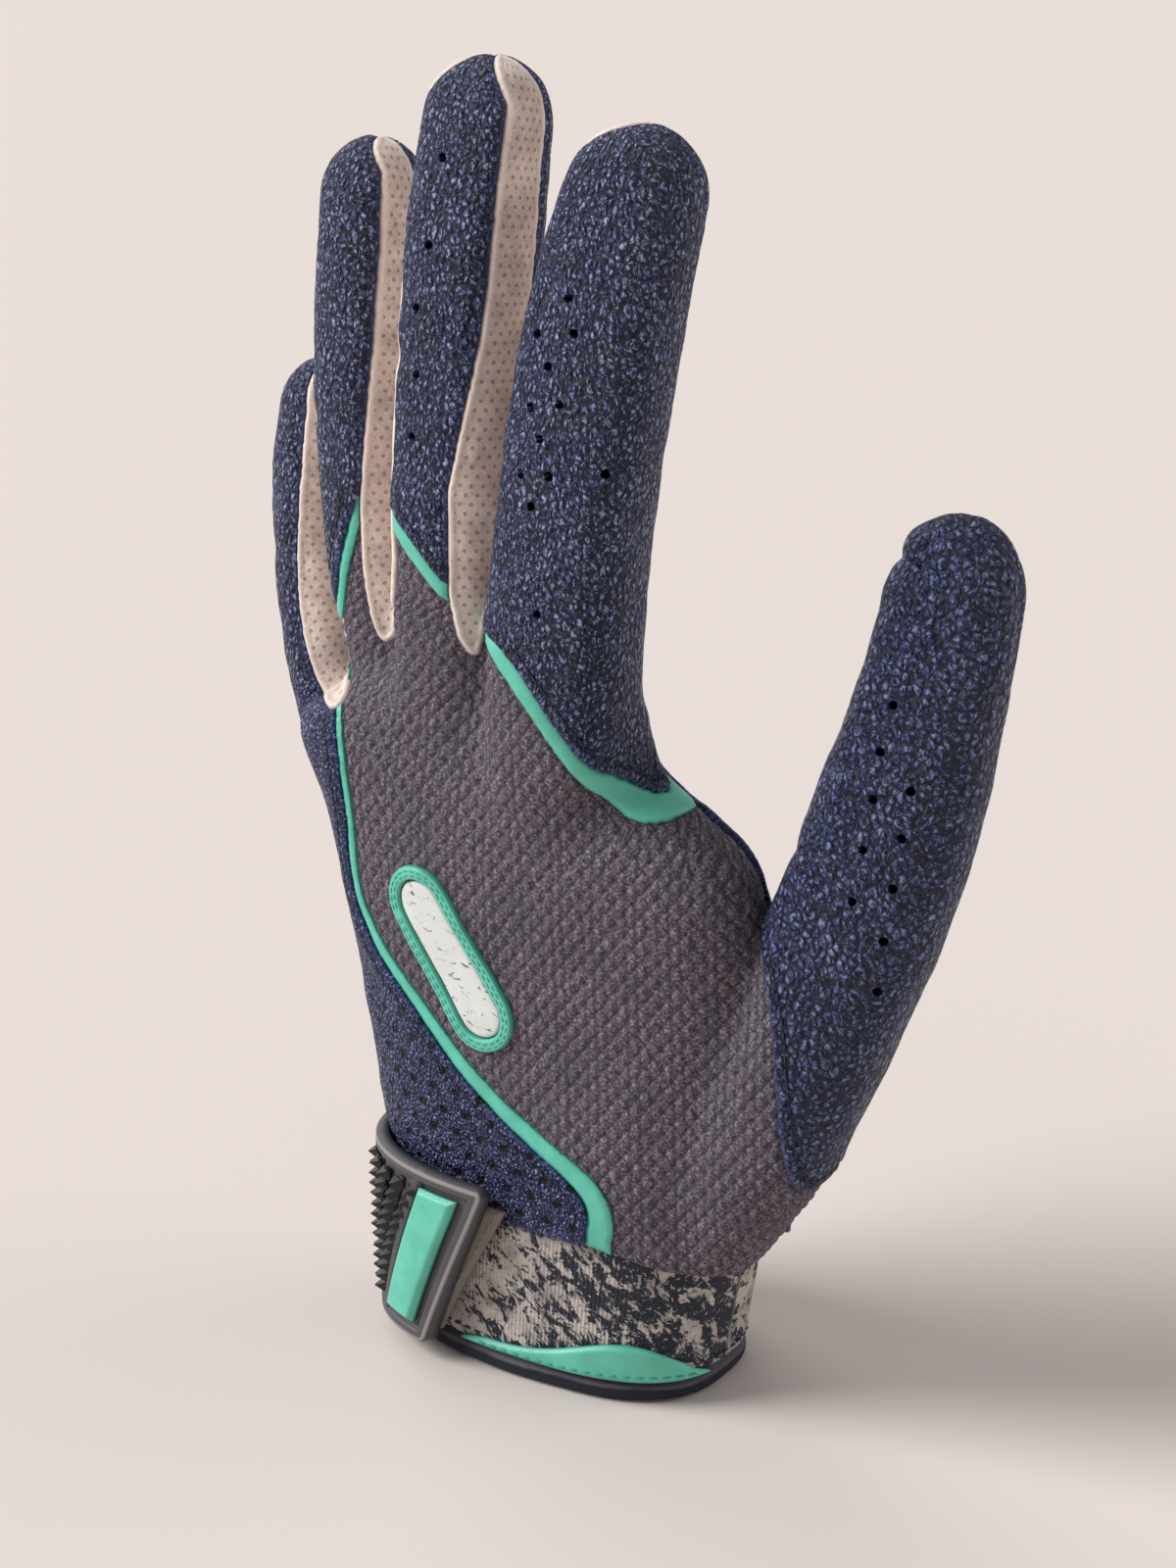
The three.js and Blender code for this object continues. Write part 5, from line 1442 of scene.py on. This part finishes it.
def material_for(name):
    kind = KIND[CODE[name]]
    if kind != LEATHER_KIND:
        return {KNIT_KIND: (looks["knit"], "knit_back"), TRIM_KIND: (looks["teal"], "teal_trim"),
                GUSSET_KIND: (looks["suede"], "grey_suede")}[kind]
    own = {"thumb_back": "thumb_leather", "ulnar_side_panel": "side_leather", "palm_leather": "palm_leather"}
    usual = "palm_leather" if name.endswith("_front") else "finger_leather"
    return looks[own.get(name, usual)], "navy_leather"


def make_hand():
    skin = cut_hand()
    for name in PIECES:
        piece = piece_from_skin(skin, name)
        material, slot = material_for(name)
        piece.data.materials.append(material)
        follow(piece, name)
        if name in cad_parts:
            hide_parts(name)
        if name in LEATHER and name != "palm_leather":
            stitches = skin_stitches(skin, name)
            if stitches:
                stitches.data.materials.append(looks["thread"])
                follow(stitches, name)
    return skin


# Sizes of the cuff and the strap, the same as the solids'
SEAM_GAP = 0.3
CUFF_SHEET, LINING_SHEET, HEM_HEIGHT, HEM_SHEET = 1.8, 1.0, 4.2, 3.4
PIPING_START, PIPING_END, PIPING_HEIGHT, PIPING_SHEET = 32.0, 84.0, 1.8, 1.0
FLASH_HEIGHT, FLASH_PEAK_SHARE, BAND_TIP_SHARE = 6.0, 1.7, 0.12
NOTCH_ACROSS, NOTCH_WIDTH, NOTCH_HEIGHT, CLOSED_SLIT = -14.0, 9.0, 21.0, 0.05
# Dashes on the cuff: start and end round it, height, lift, and the reach of their sway
CUFF_SEAM, BAND_SEAM, SEAM_SWAY = (-60, 112, 7.2, 0.16), (36, 82, 6.0, 1.35), 0.25
# Threads on the strap: how far they stay from its long edges, from its root's end and from its tip
STRAP_SEAM_MARGIN, ROOT_SEAMS, TIP_SEAM = 1.5, (2.5, 8.5), 1.0
STRAP_ROOT, STRAP_HINGE, STRAP_LOW, STRAP_TOP = -58.0, -9.0, 6.5, 36.5
STRAP_END_BOTTOM, STRAP_END_TOP = 30.0, 43.5
LOOP_LIFT, HOOK_LIFT, STRAP_LIFT, FRAME_LIFT, PLATE_LIFT = 0.3, 1.4, 2.5, 4.0, 5.7
HOOK_START, HOOK_LENGTH, HOOK_MARGIN, HOOK_SHEET, LOOP_HEIGHT = 4.0, 20.0, 4.0, 0.8, 25.0
STRAP_SHEET, FRAME_SHEET, RIM_RISE, FRAME_RIM = 1.2, 1.4, 1.1, 2.4
FRAME_START, FRAME_LOW, FRAME_TOP, FRAME_END_LOW, FRAME_END_TOP = -6.0, 3.4, 41.0, 29.5, 42.0
PLATE_WIDTH, PLATE_RISE, PLATE_MARGIN, BAR_WIDTH, FRAME_CORNER = 7.6, 1.5, 4.2, 1.6, 2.2
# The plate and the rows of spikes lie between these heights of the frame
FRAME_FIELD_LOW, FRAME_FIELD_TOP = FRAME_LOW + FRAME_RIM * 1.6, FRAME_TOP - FRAME_RIM * 1.6


def finish_piece(piece, look, slot, body, *nodes):
    """Give a piece its material and its body; slot is not used; nodes are those that it takes the place of.
    """
    if "rest" not in piece.data.attributes:
        points = np.empty(len(piece.data.vertices) * 3, np.float32)
        piece.data.vertices.foreach_get("co", points)
        set_attribute(piece.data, "rest", points.reshape(-1, 3) / MM)
    piece.data.materials.append(looks[look])
    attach(piece, body)
    if nodes:
        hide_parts(*nodes)


def notch_along():
    """Where the slit on the palm side lies, round the cuff."""
    along = np.linspace(-cuff_lengths[-1] / 2, 0, 400)
    return along[np.abs(on_cuff(along, 0.0, 0.0)[:, 0] - NOTCH_ACROSS).argmin()]


def sleeve(name, low, high, inner, outer, columns=300, rows=40):
    """A layer of the cuff, open at the slit on its palm side."""
    u, v = np.meshgrid(np.linspace(0, 1, columns), ease_ends(np.linspace(0, 1, rows)))
    z = low + (high - low) * v
    half_slit = 0.5 * NOTCH_WIDTH * np.sqrt(np.clip(1 - z / NOTCH_HEIGHT, 0, 1)) + CLOSED_SLIT
    middle, whole = notch_along(), cuff_lengths[-1]
    along = middle + half_slit + (whole - 2 * half_slit) * u
    gap = np.minimum(v, 1 - v) * (high - low)
    wave = 0.12 * np.sin(along / 5.3) + 0.1 * np.sin(along / 3.1 + z / 6)
    lift = outer(z) + wave - 0.6 * bell(gap, 0, 0.5) * (outer(z) - inner)
    piece = slab(name, on_cuff(along, z, lift), on_cuff(along, z, inner))
    mark_slab(piece, gap, (along + whole / 2) % whole - whole / 2, z)
    return piece


def make_cuff():
    hem_low = HEM_HEIGHT + SEAM_GAP
    band = sleeve("cuff_band_knit", hem_low, CUFF_HEIGHT, -CUFF_SHEET, lambda z: 0 * z)
    finish_piece(band, "print", "printed_cuff", "hand", "cuff_band")
    lining_lift = -CUFF_SHEET - SEAM_GAP
    inner = lining_lift - LINING_SHEET
    lining = sleeve("cuff_lining_cloth", hem_low, CUFF_HEIGHT, inner, lambda z: lining_lift + 0 * z)
    finish_piece(lining, "lining", "dark_lining", "hand", "cuff_lining")
    swell = lambda z: inner + HEM_SHEET * (0.9 + 0.16 * np.sin(np.pi * np.clip(z / HEM_HEIGHT, 0, 1)))
    hem = sleeve("hem_tape", 0.0, HEM_HEIGHT, inner, swell, rows=16)
    finish_piece(hem, "hem", "dark_lining", "hand", "hem_binding")
    # Teal band that swells along the hem
    u, v = np.meshgrid(ease_ends(np.linspace(0, 1, 120)), ease_ends(np.linspace(0, 1, 22)))
    crest = PIPING_HEIGHT + FLASH_HEIGHT * np.sin(np.pi * u ** FLASH_PEAK_SHARE) ** 2
    crest = crest * np.sqrt(np.clip(np.minimum(u, 1 - u) / BAND_TIP_SHARE, 0.01, 1))
    low = HEM_HEIGHT + 2 * SEAM_GAP
    along = PIPING_START + (PIPING_END - PIPING_START) * u
    z = low + crest * v
    gap = np.minimum(np.minimum(v, 1 - v) * crest, np.minimum(u, 1 - u) * (PIPING_END - PIPING_START))
    lift = SEAM_GAP + PIPING_SHEET * (1 - 0.6 * bell(gap, 0, 0.45))
    piping = slab("hem_band", on_cuff(along, z, lift), on_cuff(along, z, 0.05 + 0 * z))
    mark_slab(piping, gap)
    finish_piece(piping, "teal", "teal_trim", "hand", "hem_piping")
    # Dark dashes along the foot of the band and pale ones in the teal
    for name, seam, look, slot in (("cuff_stitches", CUFF_SEAM, "thread", "dark_lining"),
                                   ("hem_band_stitches", BAND_SEAM, "teal_thread", "teal_trim")):
        start, end, height, lift = seam
        s = np.linspace(start, end, 240)
        line = on_cuff(s, height + SEAM_SWAY * np.sin(s / 9), lift)
        rows = stitch_row(line, on_cuff(s, height, lift + 1) - line, step=2.6, length=1.7, radius=0.26)
        finish_piece(thread_mesh(name, rows), look, slot, "hand")


def frame_end(v):
    return FRAME_END_LOW + (FRAME_END_TOP - FRAME_END_LOW) * v


def bump_up(gap, inner, outer, soften=0.35):
    """One between two distances, with soft shoulders."""
    return ease((gap - inner) / soften + 0.5) * ease((outer - gap) / soften + 0.5)


def strap_threads(along, z, **sizes):
    """Threads along a line on the outer face of the strap."""
    lift = STRAP_LIFT + STRAP_SHEET
    line = on_cuff(along, z, lift)
    return stitch_row(line, on_cuff(along, z, lift + 1) - line, **sizes)


def make_strap():
    loop_low = (CUFF_HEIGHT + HEM_HEIGHT - LOOP_HEIGHT) / 2
    loop_end, hook_end = HOOK_START + HOOK_LENGTH + HOOK_MARGIN, HOOK_START + HOOK_LENGTH
    sheets = [
        ("loop_pile", (HOOK_START - HOOK_MARGIN,) * 2, (loop_end,) * 2, loop_low + HOOK_MARGIN / 2,
         loop_low + LOOP_HEIGHT, LOOP_LIFT, HOOK_SHEET, {}, ("fuzz", "dark_lining", "hand", "loop_patch")),
        ("hook_pile", (HOOK_START,) * 2, (hook_end,) * 2, STRAP_LOW + HOOK_MARGIN,
         STRAP_TOP - HOOK_MARGIN, HOOK_LIFT, HOOK_SHEET, {}, ("fuzz", "black_rubber", "strap", "hook_patch")),
        ("strap_suede", (STRAP_HINGE + SEAM_GAP / 2,) * 2, (STRAP_END_BOTTOM, STRAP_END_TOP), STRAP_LOW,
         STRAP_TOP, STRAP_LIFT, STRAP_SHEET, dict(columns=120, rows=70),
         ("tab_suede", "grey_suede", "strap", "strap_tab")),
        ("strap_root_leather", (STRAP_ROOT,) * 2, (STRAP_HINGE - SEAM_GAP / 2,) * 2, STRAP_LOW,
         STRAP_TOP, STRAP_LIFT, STRAP_SHEET, dict(columns=110, rows=60),
         ("tab_suede", "navy_leather", "hand", "strap_root")),
    ]
    for name, start, end, low, high, lift, sheet, counts, finish in sheets:
        finish_piece(cuff_slab(name, start, end, low, high, lift, lift + sheet, **counts), *finish)
    make_frame()
    make_spikes()
    z = np.linspace(STRAP_LOW + STRAP_SEAM_MARGIN, STRAP_TOP - STRAP_SEAM_MARGIN, 60)
    share = (z - STRAP_LOW) / (STRAP_TOP - STRAP_LOW)
    end = STRAP_END_BOTTOM + (STRAP_END_TOP - STRAP_END_BOTTOM) * share - TIP_SEAM
    for distance in ROOT_SEAMS:
        place = STRAP_ROOT + distance
        threads = thread_mesh(f"strap_root_stitches_m{-int(place)}", strap_threads(place + 0 * z, z))
        finish_piece(threads, "thread", "navy_leather", "hand")
    threads = thread_mesh("strap_end_stitches", strap_threads(end, z, radius=0.2))
    finish_piece(threads, "pale_thread", "grey_suede", "strap")


def make_frame():
    """Moulded rubber badge: raised border, bar beside the plate and slots for the spikes."""
    u, v = np.meshgrid(np.linspace(0, 1, 220), np.linspace(0, 1, 170))
    z = FRAME_LOW + (FRAME_TOP - FRAME_LOW) * v
    across = np.minimum(v, 1 - v) * (FRAME_TOP - FRAME_LOW)
    round_off = np.sqrt(np.clip(FRAME_CORNER ** 2 - (FRAME_CORNER - across) ** 2, 0, None))
    inset = np.where(across < FRAME_CORNER, FRAME_CORNER - round_off, 0)
    start, end = FRAME_START + inset, frame_end(v) - inset
    along = start + (end - start) * u
    gap = np.minimum(np.minimum(along - start + inset * 0.3, end - along + inset * 0.3) * 0.97, across)
    rim = bump_up(gap, 0.0, FRAME_RIM)
    plate_end = frame_end(v) - PLATE_MARGIN
    bar_middle = plate_end - PLATE_WIDTH - SEAM_GAP - BAR_WIDTH / 2
    bar = bump_up(np.abs(along - bar_middle), -1, BAR_WIDTH / 2)
    lift = FRAME_LIFT + FRAME_SHEET + RIM_RISE * np.maximum(rim, bar) - 0.5 * bell(gap, 0, 0.35)
    piece = slab("badge_frame", on_cuff(along, z, lift), on_cuff(along, z, FRAME_LIFT + 0 * z))
    mark_slab(piece, gap)
    finish_piece(piece, "frame_rubber", "grey_rubber", "strap", "tab_frame")
    heights = (FRAME_FIELD_LOW, FRAME_FIELD_TOP)
    ends = [frame_end((z - FRAME_LOW) / (FRAME_TOP - FRAME_LOW)) - PLATE_MARGIN for z in heights]
    starts = [e - PLATE_WIDTH for e in ends]
    plate = cuff_slab("badge_plate", starts, ends, *heights, PLATE_LIFT, PLATE_LIFT + PLATE_RISE,
                      columns=50, rows=110, soften=0.55)
    finish_piece(plate, "teal", "teal_trim", "strap", "tab_plate")


SPIKE_ROWS, SPIKE_FIRST, SPIKE_PITCH, SPIKE_LEAN, SPIKES_IN_ROW = (3, 4), -2.5, 3.8, 0.45, 10
SPIKE_SIZE, SPIKE_RISE, SPIKE_BED, SPIKE_FOOT = 2.2, 1.9, 3.0, 0.2
# Width share and height of the rings of a spike, below its point
SPIKE_PROFILE = ((1.0, 0.0), (0.92, 0.25), (0.12, SPIKE_RISE - 0.1))


def make_spikes():
    """The rows of spikes between those of the frame and the bar, each in its own lens-shaped bed."""
    low, high = FRAME_FIELD_LOW, FRAME_FIELD_TOP
    row_line = lambda row, z: SPIKE_FIRST + row * SPIKE_PITCH + (z - FRAME_LOW) * SPIKE_LEAN
    for row in SPIKE_ROWS:
        v, side = np.meshgrid(np.linspace(0, 1, 60), np.linspace(-1, 1, 7), indexing="ij")
        z = low + (high - low) * v
        middle = row_line(row, z)
        half = SPIKE_BED * (0.4 + 0.6 * np.sin(np.pi * v)) / 2
        lift = PLATE_LIFT + 0.3 * (1 - side ** 4)
        bed = slab(f"spike_bed_{row + 1}", on_cuff(middle + side * half, z, lift),
                   on_cuff(middle + side * half, z, PLATE_LIFT - 0.2 + 0 * z))
        finish_piece(bed, "spike_rubber", "black_rubber", "strap")
        points, faces = [], []
        for k in range(SPIKES_IN_ROW):
            z = low + (high - low) * (k + 0.5) / SPIKES_IN_ROW
            along = row_line(row, z)
            first = len(points)
            for size, rise in SPIKE_PROFILE:
                for a, b in ((-1, -1), (1, -1), (1, 1), (-1, 1)):
                    half = SPIKE_SIZE * size / 2
                    points.append(on_cuff(along + a * half, z + b * half, PLATE_LIFT + SPIKE_FOOT + rise))
            points.append(on_cuff(along, z, PLATE_LIFT + SPIKE_FOOT + SPIKE_RISE))
            faces.append([first + 3, first + 2, first + 1, first])
            for level in (0, 4):
                for side in range(4):
                    i, j = first + level + side, first + level + (side + 1) % 4
                    faces.append([i, j, j + 4, i + 4])
            faces += [[first + 8 + side, first + 8 + (side + 1) % 4, first + 12] for side in range(4)]
        spikes = mesh_object(f"spikes_{row + 1}", np.array(points), faces, smooth=False)
        finish_piece(spikes, "spike_rubber", "black_rubber", "strap")


BADGE_LENGTH, BADGE_WIDTH, BADGE_RIM = 38.0, 15.0, 2.6
BADGE_ACROSS, BADGE_UP, BADGE_TURN = -11.5, 84.0, -56.0


def badge_line(inset, straight_steps=40, arc_steps=50):
    """A capsule outline in the plane of the back, with rows of points that pair across its middle."""
    radius, half = BADGE_WIDTH / 2 - inset, (BADGE_LENGTH - BADGE_WIDTH) / 2
    run = np.linspace(-half, half, straight_steps, endpoint=False)
    arc = np.linspace(-np.pi / 2, np.pi / 2, arc_steps, endpoint=False)
    x = np.concatenate([run, half + radius * np.cos(arc), -run, -half - radius * np.cos(arc)])
    z = np.concatenate([0 * run - radius, radius * np.sin(arc), 0 * run + radius, -radius * np.sin(arc)])
    c, s = math.cos(math.radians(BADGE_TURN)), math.sin(math.radians(BADGE_TURN))
    return np.stack([BADGE_ACROSS + x * c - z * s, BADGE_UP + x * s + z * c], 1)


def weld(piece):
    """Join the points that lie in one place."""
    work = bmesh.new()
    work.from_mesh(piece.data)
    bmesh.ops.remove_doubles(work, verts=work.verts, dist=0.01 * MM)
    work.to_mesh(piece.data)
    work.free()


def on_back(places, lift, tree, skin):
    """Points off the skin of the back under (across, up) places."""
    points = np.empty((len(places), 3))
    normal = skin.get("normal")
    for i, (x, z) in enumerate(places):
        hit = tree.ray_cast(Vector((x, RAY_START, z)), TOWARDS_PALM)
        near = skin.triangles[hit[2]]
        side = normal[near].mean(0)
        points[i] = np.array(hit[0]) + side / np.linalg.norm(side) * lift
    return points


# Distances in from the badge's outline and heights there: two stitched grooves in the rim, and a plate
RIM_PROFILE = [(0, 0.75), (0.15, 1.25), (0.5, 1.5), (0.9, 1.35), (1.3, 1.5), (1.7, 1.35), (2.1, 1.5),
               (2.45, 1.25), (BADGE_RIM, 0.8)]
INLAY_INSET = 2.75
INLAY_PROFILE = [(INLAY_INSET, 0.5), (2.95, 0.8), (3.3, 0.95)] + [
    (inset, 1.0) for inset in np.linspace(3.9, BADGE_WIDTH / 2, 8)]
BADGE_FOOT, BADGE_GROOVES, BADGE_THREAD_LIFT = 0.1, (0.9, 1.7), 1.42


def badge_layer(name, profile, edge, tree, skin):
    """A layer of the badge that follows the back of the hand; edge turns its insets to edge distances."""
    rings = np.stack([on_back(badge_line(inset), height, tree, skin) for inset, height in profile])
    foot = np.stack([on_back(badge_line(inset), BADGE_FOOT, tree, skin) for inset, _ in profile])
    layer = slab(name, rings, foot, closed=True)
    insets = np.array([inset for inset, _ in profile])
    mark_slab(layer, np.repeat(edge(insets), rings.shape[1]))
    return layer


def make_badge(skin):
    tree = BVHTree.FromPolygons(skin.get("place").tolist(), skin.triangles.tolist())
    rim = badge_layer("badge_rim_rubber", RIM_PROFILE, lambda w: np.minimum(w, BADGE_RIM - w), tree, skin)
    finish_piece(rim, "teal", "teal_trim", "hand", "badge_rim")
    inlay = badge_layer("badge_inlay_sheet", INLAY_PROFILE, lambda w: w - INLAY_INSET, tree, skin)
    weld(inlay)
    finish_piece(inlay, "inlay", "pale_inlay", "hand", "badge_inlay")
    rows = []
    for inset in BADGE_GROOVES:
        line = badge_line(inset)
        line = np.concatenate([line, line[:1]])
        points = on_back(line, BADGE_THREAD_LIFT, tree, skin)
        up = on_back(line, BADGE_THREAD_LIFT + 1, tree, skin) - points
        rows += stitch_row(points, up, step=1.7, length=1.1, radius=0.16)
    finish_piece(thread_mesh("badge_stitches", rows), "teal_thread", "teal_trim", "hand")


PULL_UP_SHARE, PULL_HEIGHT, PULL_REACH, PULL_SHEET, PULL_PALMAR = 0.24, 14.0, 7.0, 2.4, 2.0
PULL_SUNK, PULL_STRETCH, PULL_SEAM, PULL_SEAM_MARGIN = 3.0, 1.25, 2.2, 1.2


def make_pull_tab():
    """A leather loop, folded over and sewn into the side above the cuff."""
    up, across, width = (float(smooth_column(PALM_ROW_SHARES[:, k], np.array([PULL_UP_SHARE]))[0])
                         for k in (0, 1, 3))
    side = PALM_WIDTH * (across - width / 2)
    low = CUFF_HEIGHT + PALM_HEIGHT * up
    turn, v = np.meshgrid(np.linspace(0, 2 * np.pi, 48, endpoint=False), ease_ends(np.linspace(0, 1, 30)))
    gap = np.minimum(v, 1 - v) * PULL_HEIGHT
    shrink = 1 - 0.55 * bell(gap, 0, 0.7)
    reach = PULL_REACH * (1 - 0.12 * bell(gap, 0, 1.6))
    x = side + PULL_SUNK - reach * (0.5 - 0.5 * np.cos(turn)) * PULL_STRETCH
    y = PULL_PALMAR + PULL_SHEET / 2 + np.sin(turn) * PULL_SHEET / 2 * shrink
    z = low + PULL_HEIGHT * v
    outer = np.stack([x, y, z], -1)
    core = np.stack([x * 0 + side, y * 0 + PULL_PALMAR + PULL_SHEET / 2, z], -1)
    piece = slab("pull_loop", outer, outer * 0.5 + core * 0.5, closed=True)
    finish_piece(piece, "palm_leather", "navy_leather", "hand", "pull_tab")
    s = np.linspace(low + PULL_SEAM_MARGIN, low + PULL_HEIGHT - PULL_SEAM_MARGIN, 20)
    line = np.stack([s * 0 + side - PULL_SEAM, s * 0 + PULL_PALMAR - 0.05, s], 1)
    rows = stitch_row(line, np.array([[0, -1.0, 0]] * len(s)))
    finish_piece(thread_mesh("pull_loop_stitches", rows), "thread", "navy_leather", "hand")


def make_looks():
    return {
        "finger_leather": leather_look("finger_leather", (1.1, 1.1, 1.9), 0.65),
        "thumb_leather": leather_look("thumb_leather", (1.5, 1.5, 1.9), 0.75, painted_highlight=0.5),
        "side_leather": leather_look("side_leather", (0.8, 0.8, 1.0), 0.35, punched=True),
        "palm_leather": leather_look("palm_leather", (1.1, 1.1, 1.3), 0.4),
        "knit": knit_look(), "suede": suede_look(), "lining": lining_look(), "print": print_look(),
        "teal": smooth_look("teal_trim", TEAL, TEAL_DARK),
        "hem": hem_look(),
        "fuzz": fuzz_look("hook_and_loop", tone("22242b"), tone("0d0e12")),
        "tab_suede": fuzz_look("tab_suede", tone("a79f96"), tone("756e67")),
        "frame_rubber": rubber_look("frame_rubber", RUBBER, RUBBER_DARK, RUBBER_HIGHLIGHT),
        "spike_rubber": smooth_look("spike_rubber", BLACK, tone("05060a"), 0.4),
        "inlay": inlay_look(),
        "thread": smooth_look("navy_thread", tone("2c3550"), tone("161c2c"), 0.5, 0.2),
        "teal_thread": smooth_look("teal_thread", tone("43b59d"), TEAL_DARK, 0.6, 0.2),
        "pale_thread": smooth_look("grey_thread", tone("918b89"), tone("6a6665"), 0.6, 0.2),
    }


# Camera at the photograph's viewing angle; its frame is 1200 by 1600
CAMERA_PLACE = (368.3, -532.5, 340.0)
CAMERA_YAW, CAMERA_PITCH = 34.4949, -19.3045
FOCAL_PIXELS, FRAME_LONG_SIDE = 3800.0, 1600.0
SENSOR, CLIP_NEAR, CLIP_FAR = 36.0, 0.01, 200


def camera_forward():
    yaw, pitch = math.radians(CAMERA_YAW), math.radians(CAMERA_PITCH)
    return Vector((-math.sin(yaw) * math.cos(pitch), math.cos(yaw) * math.cos(pitch), math.sin(pitch)))


def make_camera():
    data = bpy.data.cameras.new("camera")
    data.lens = FOCAL_PIXELS / FRAME_LONG_SIDE * SENSOR
    data.sensor_width = SENSOR
    data.clip_start, data.clip_end = CLIP_NEAR, CLIP_FAR
    camera = bpy.data.objects.new("camera", data)
    bpy.context.scene.collection.objects.link(camera)
    camera.location = Vector(CAMERA_PLACE) * MM
    camera.rotation_mode = "QUATERNION"
    camera.rotation_quaternion = camera_forward().to_track_quat("-Z", "Y")
    bpy.context.scene.camera = camera


FLOOR_COLOUR = (0.74, 0.665, 0.63, 1)
FLOOR_REACH = 60.0
# Lamps: name, direction that the light comes from, power and angle in degrees
SUNS = [
    ("key", (-0.85, -0.6, 0.75), 3.1, 32),
    ("fill", (0.9, 0.6, 0.4), 0.7, 50),
    ("rim", (-1.0, 0.5, 0.7), 0.7, 40),
]
SKY_STRENGTH, SKY_COLOUR = 0.33, (0.97, 0.94, 0.92, 1)


def make_stage():
    """A plain pale floor, an even sky and soft suns."""
    mesh = bpy.data.meshes.new("floor")
    corners = [(x * FLOOR_REACH, y * FLOOR_REACH, 0) for x, y in ((-1, -1), (1, -1), (1, 1), (-1, 1))]
    mesh.from_pydata(corners, [], [(0, 1, 2, 3)])
    floor = bpy.data.objects.new("floor", mesh)
    bpy.context.scene.collection.objects.link(floor)
    floor.data.materials.append(Look("floor", 0.9, Base_Color=FLOOR_COLOUR).material)
    world = bpy.data.worlds.new("world")
    world.use_nodes = True
    sky = world.node_tree.nodes["Background"].inputs
    sky["Color"].default_value, sky["Strength"].default_value = SKY_COLOUR, SKY_STRENGTH
    bpy.context.scene.world = world
    for name, towards, power, angle in SUNS:
        lamp = bpy.data.lights.new(name, "SUN")
        lamp.energy, lamp.angle = power, math.radians(angle)
        sun = bpy.data.objects.new(name, lamp)
        bpy.context.scene.collection.objects.link(sun)
        sun.rotation_mode = "QUATERNION"
        sun.rotation_quaternion = Vector(towards).to_track_quat("Z", "Y")


looks = make_looks()
skin = make_hand()
make_cuff()
make_strap()
make_badge(skin)
make_pull_tab()
for row in (1, 2, 3):
    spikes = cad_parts[f"spike_row_{row}"]
    for slot in spikes.material_slots:
        slot.material = looks["spike_rubber"]
make_camera()
make_stage()
bpy.context.scene.view_settings.view_transform = "Standard"
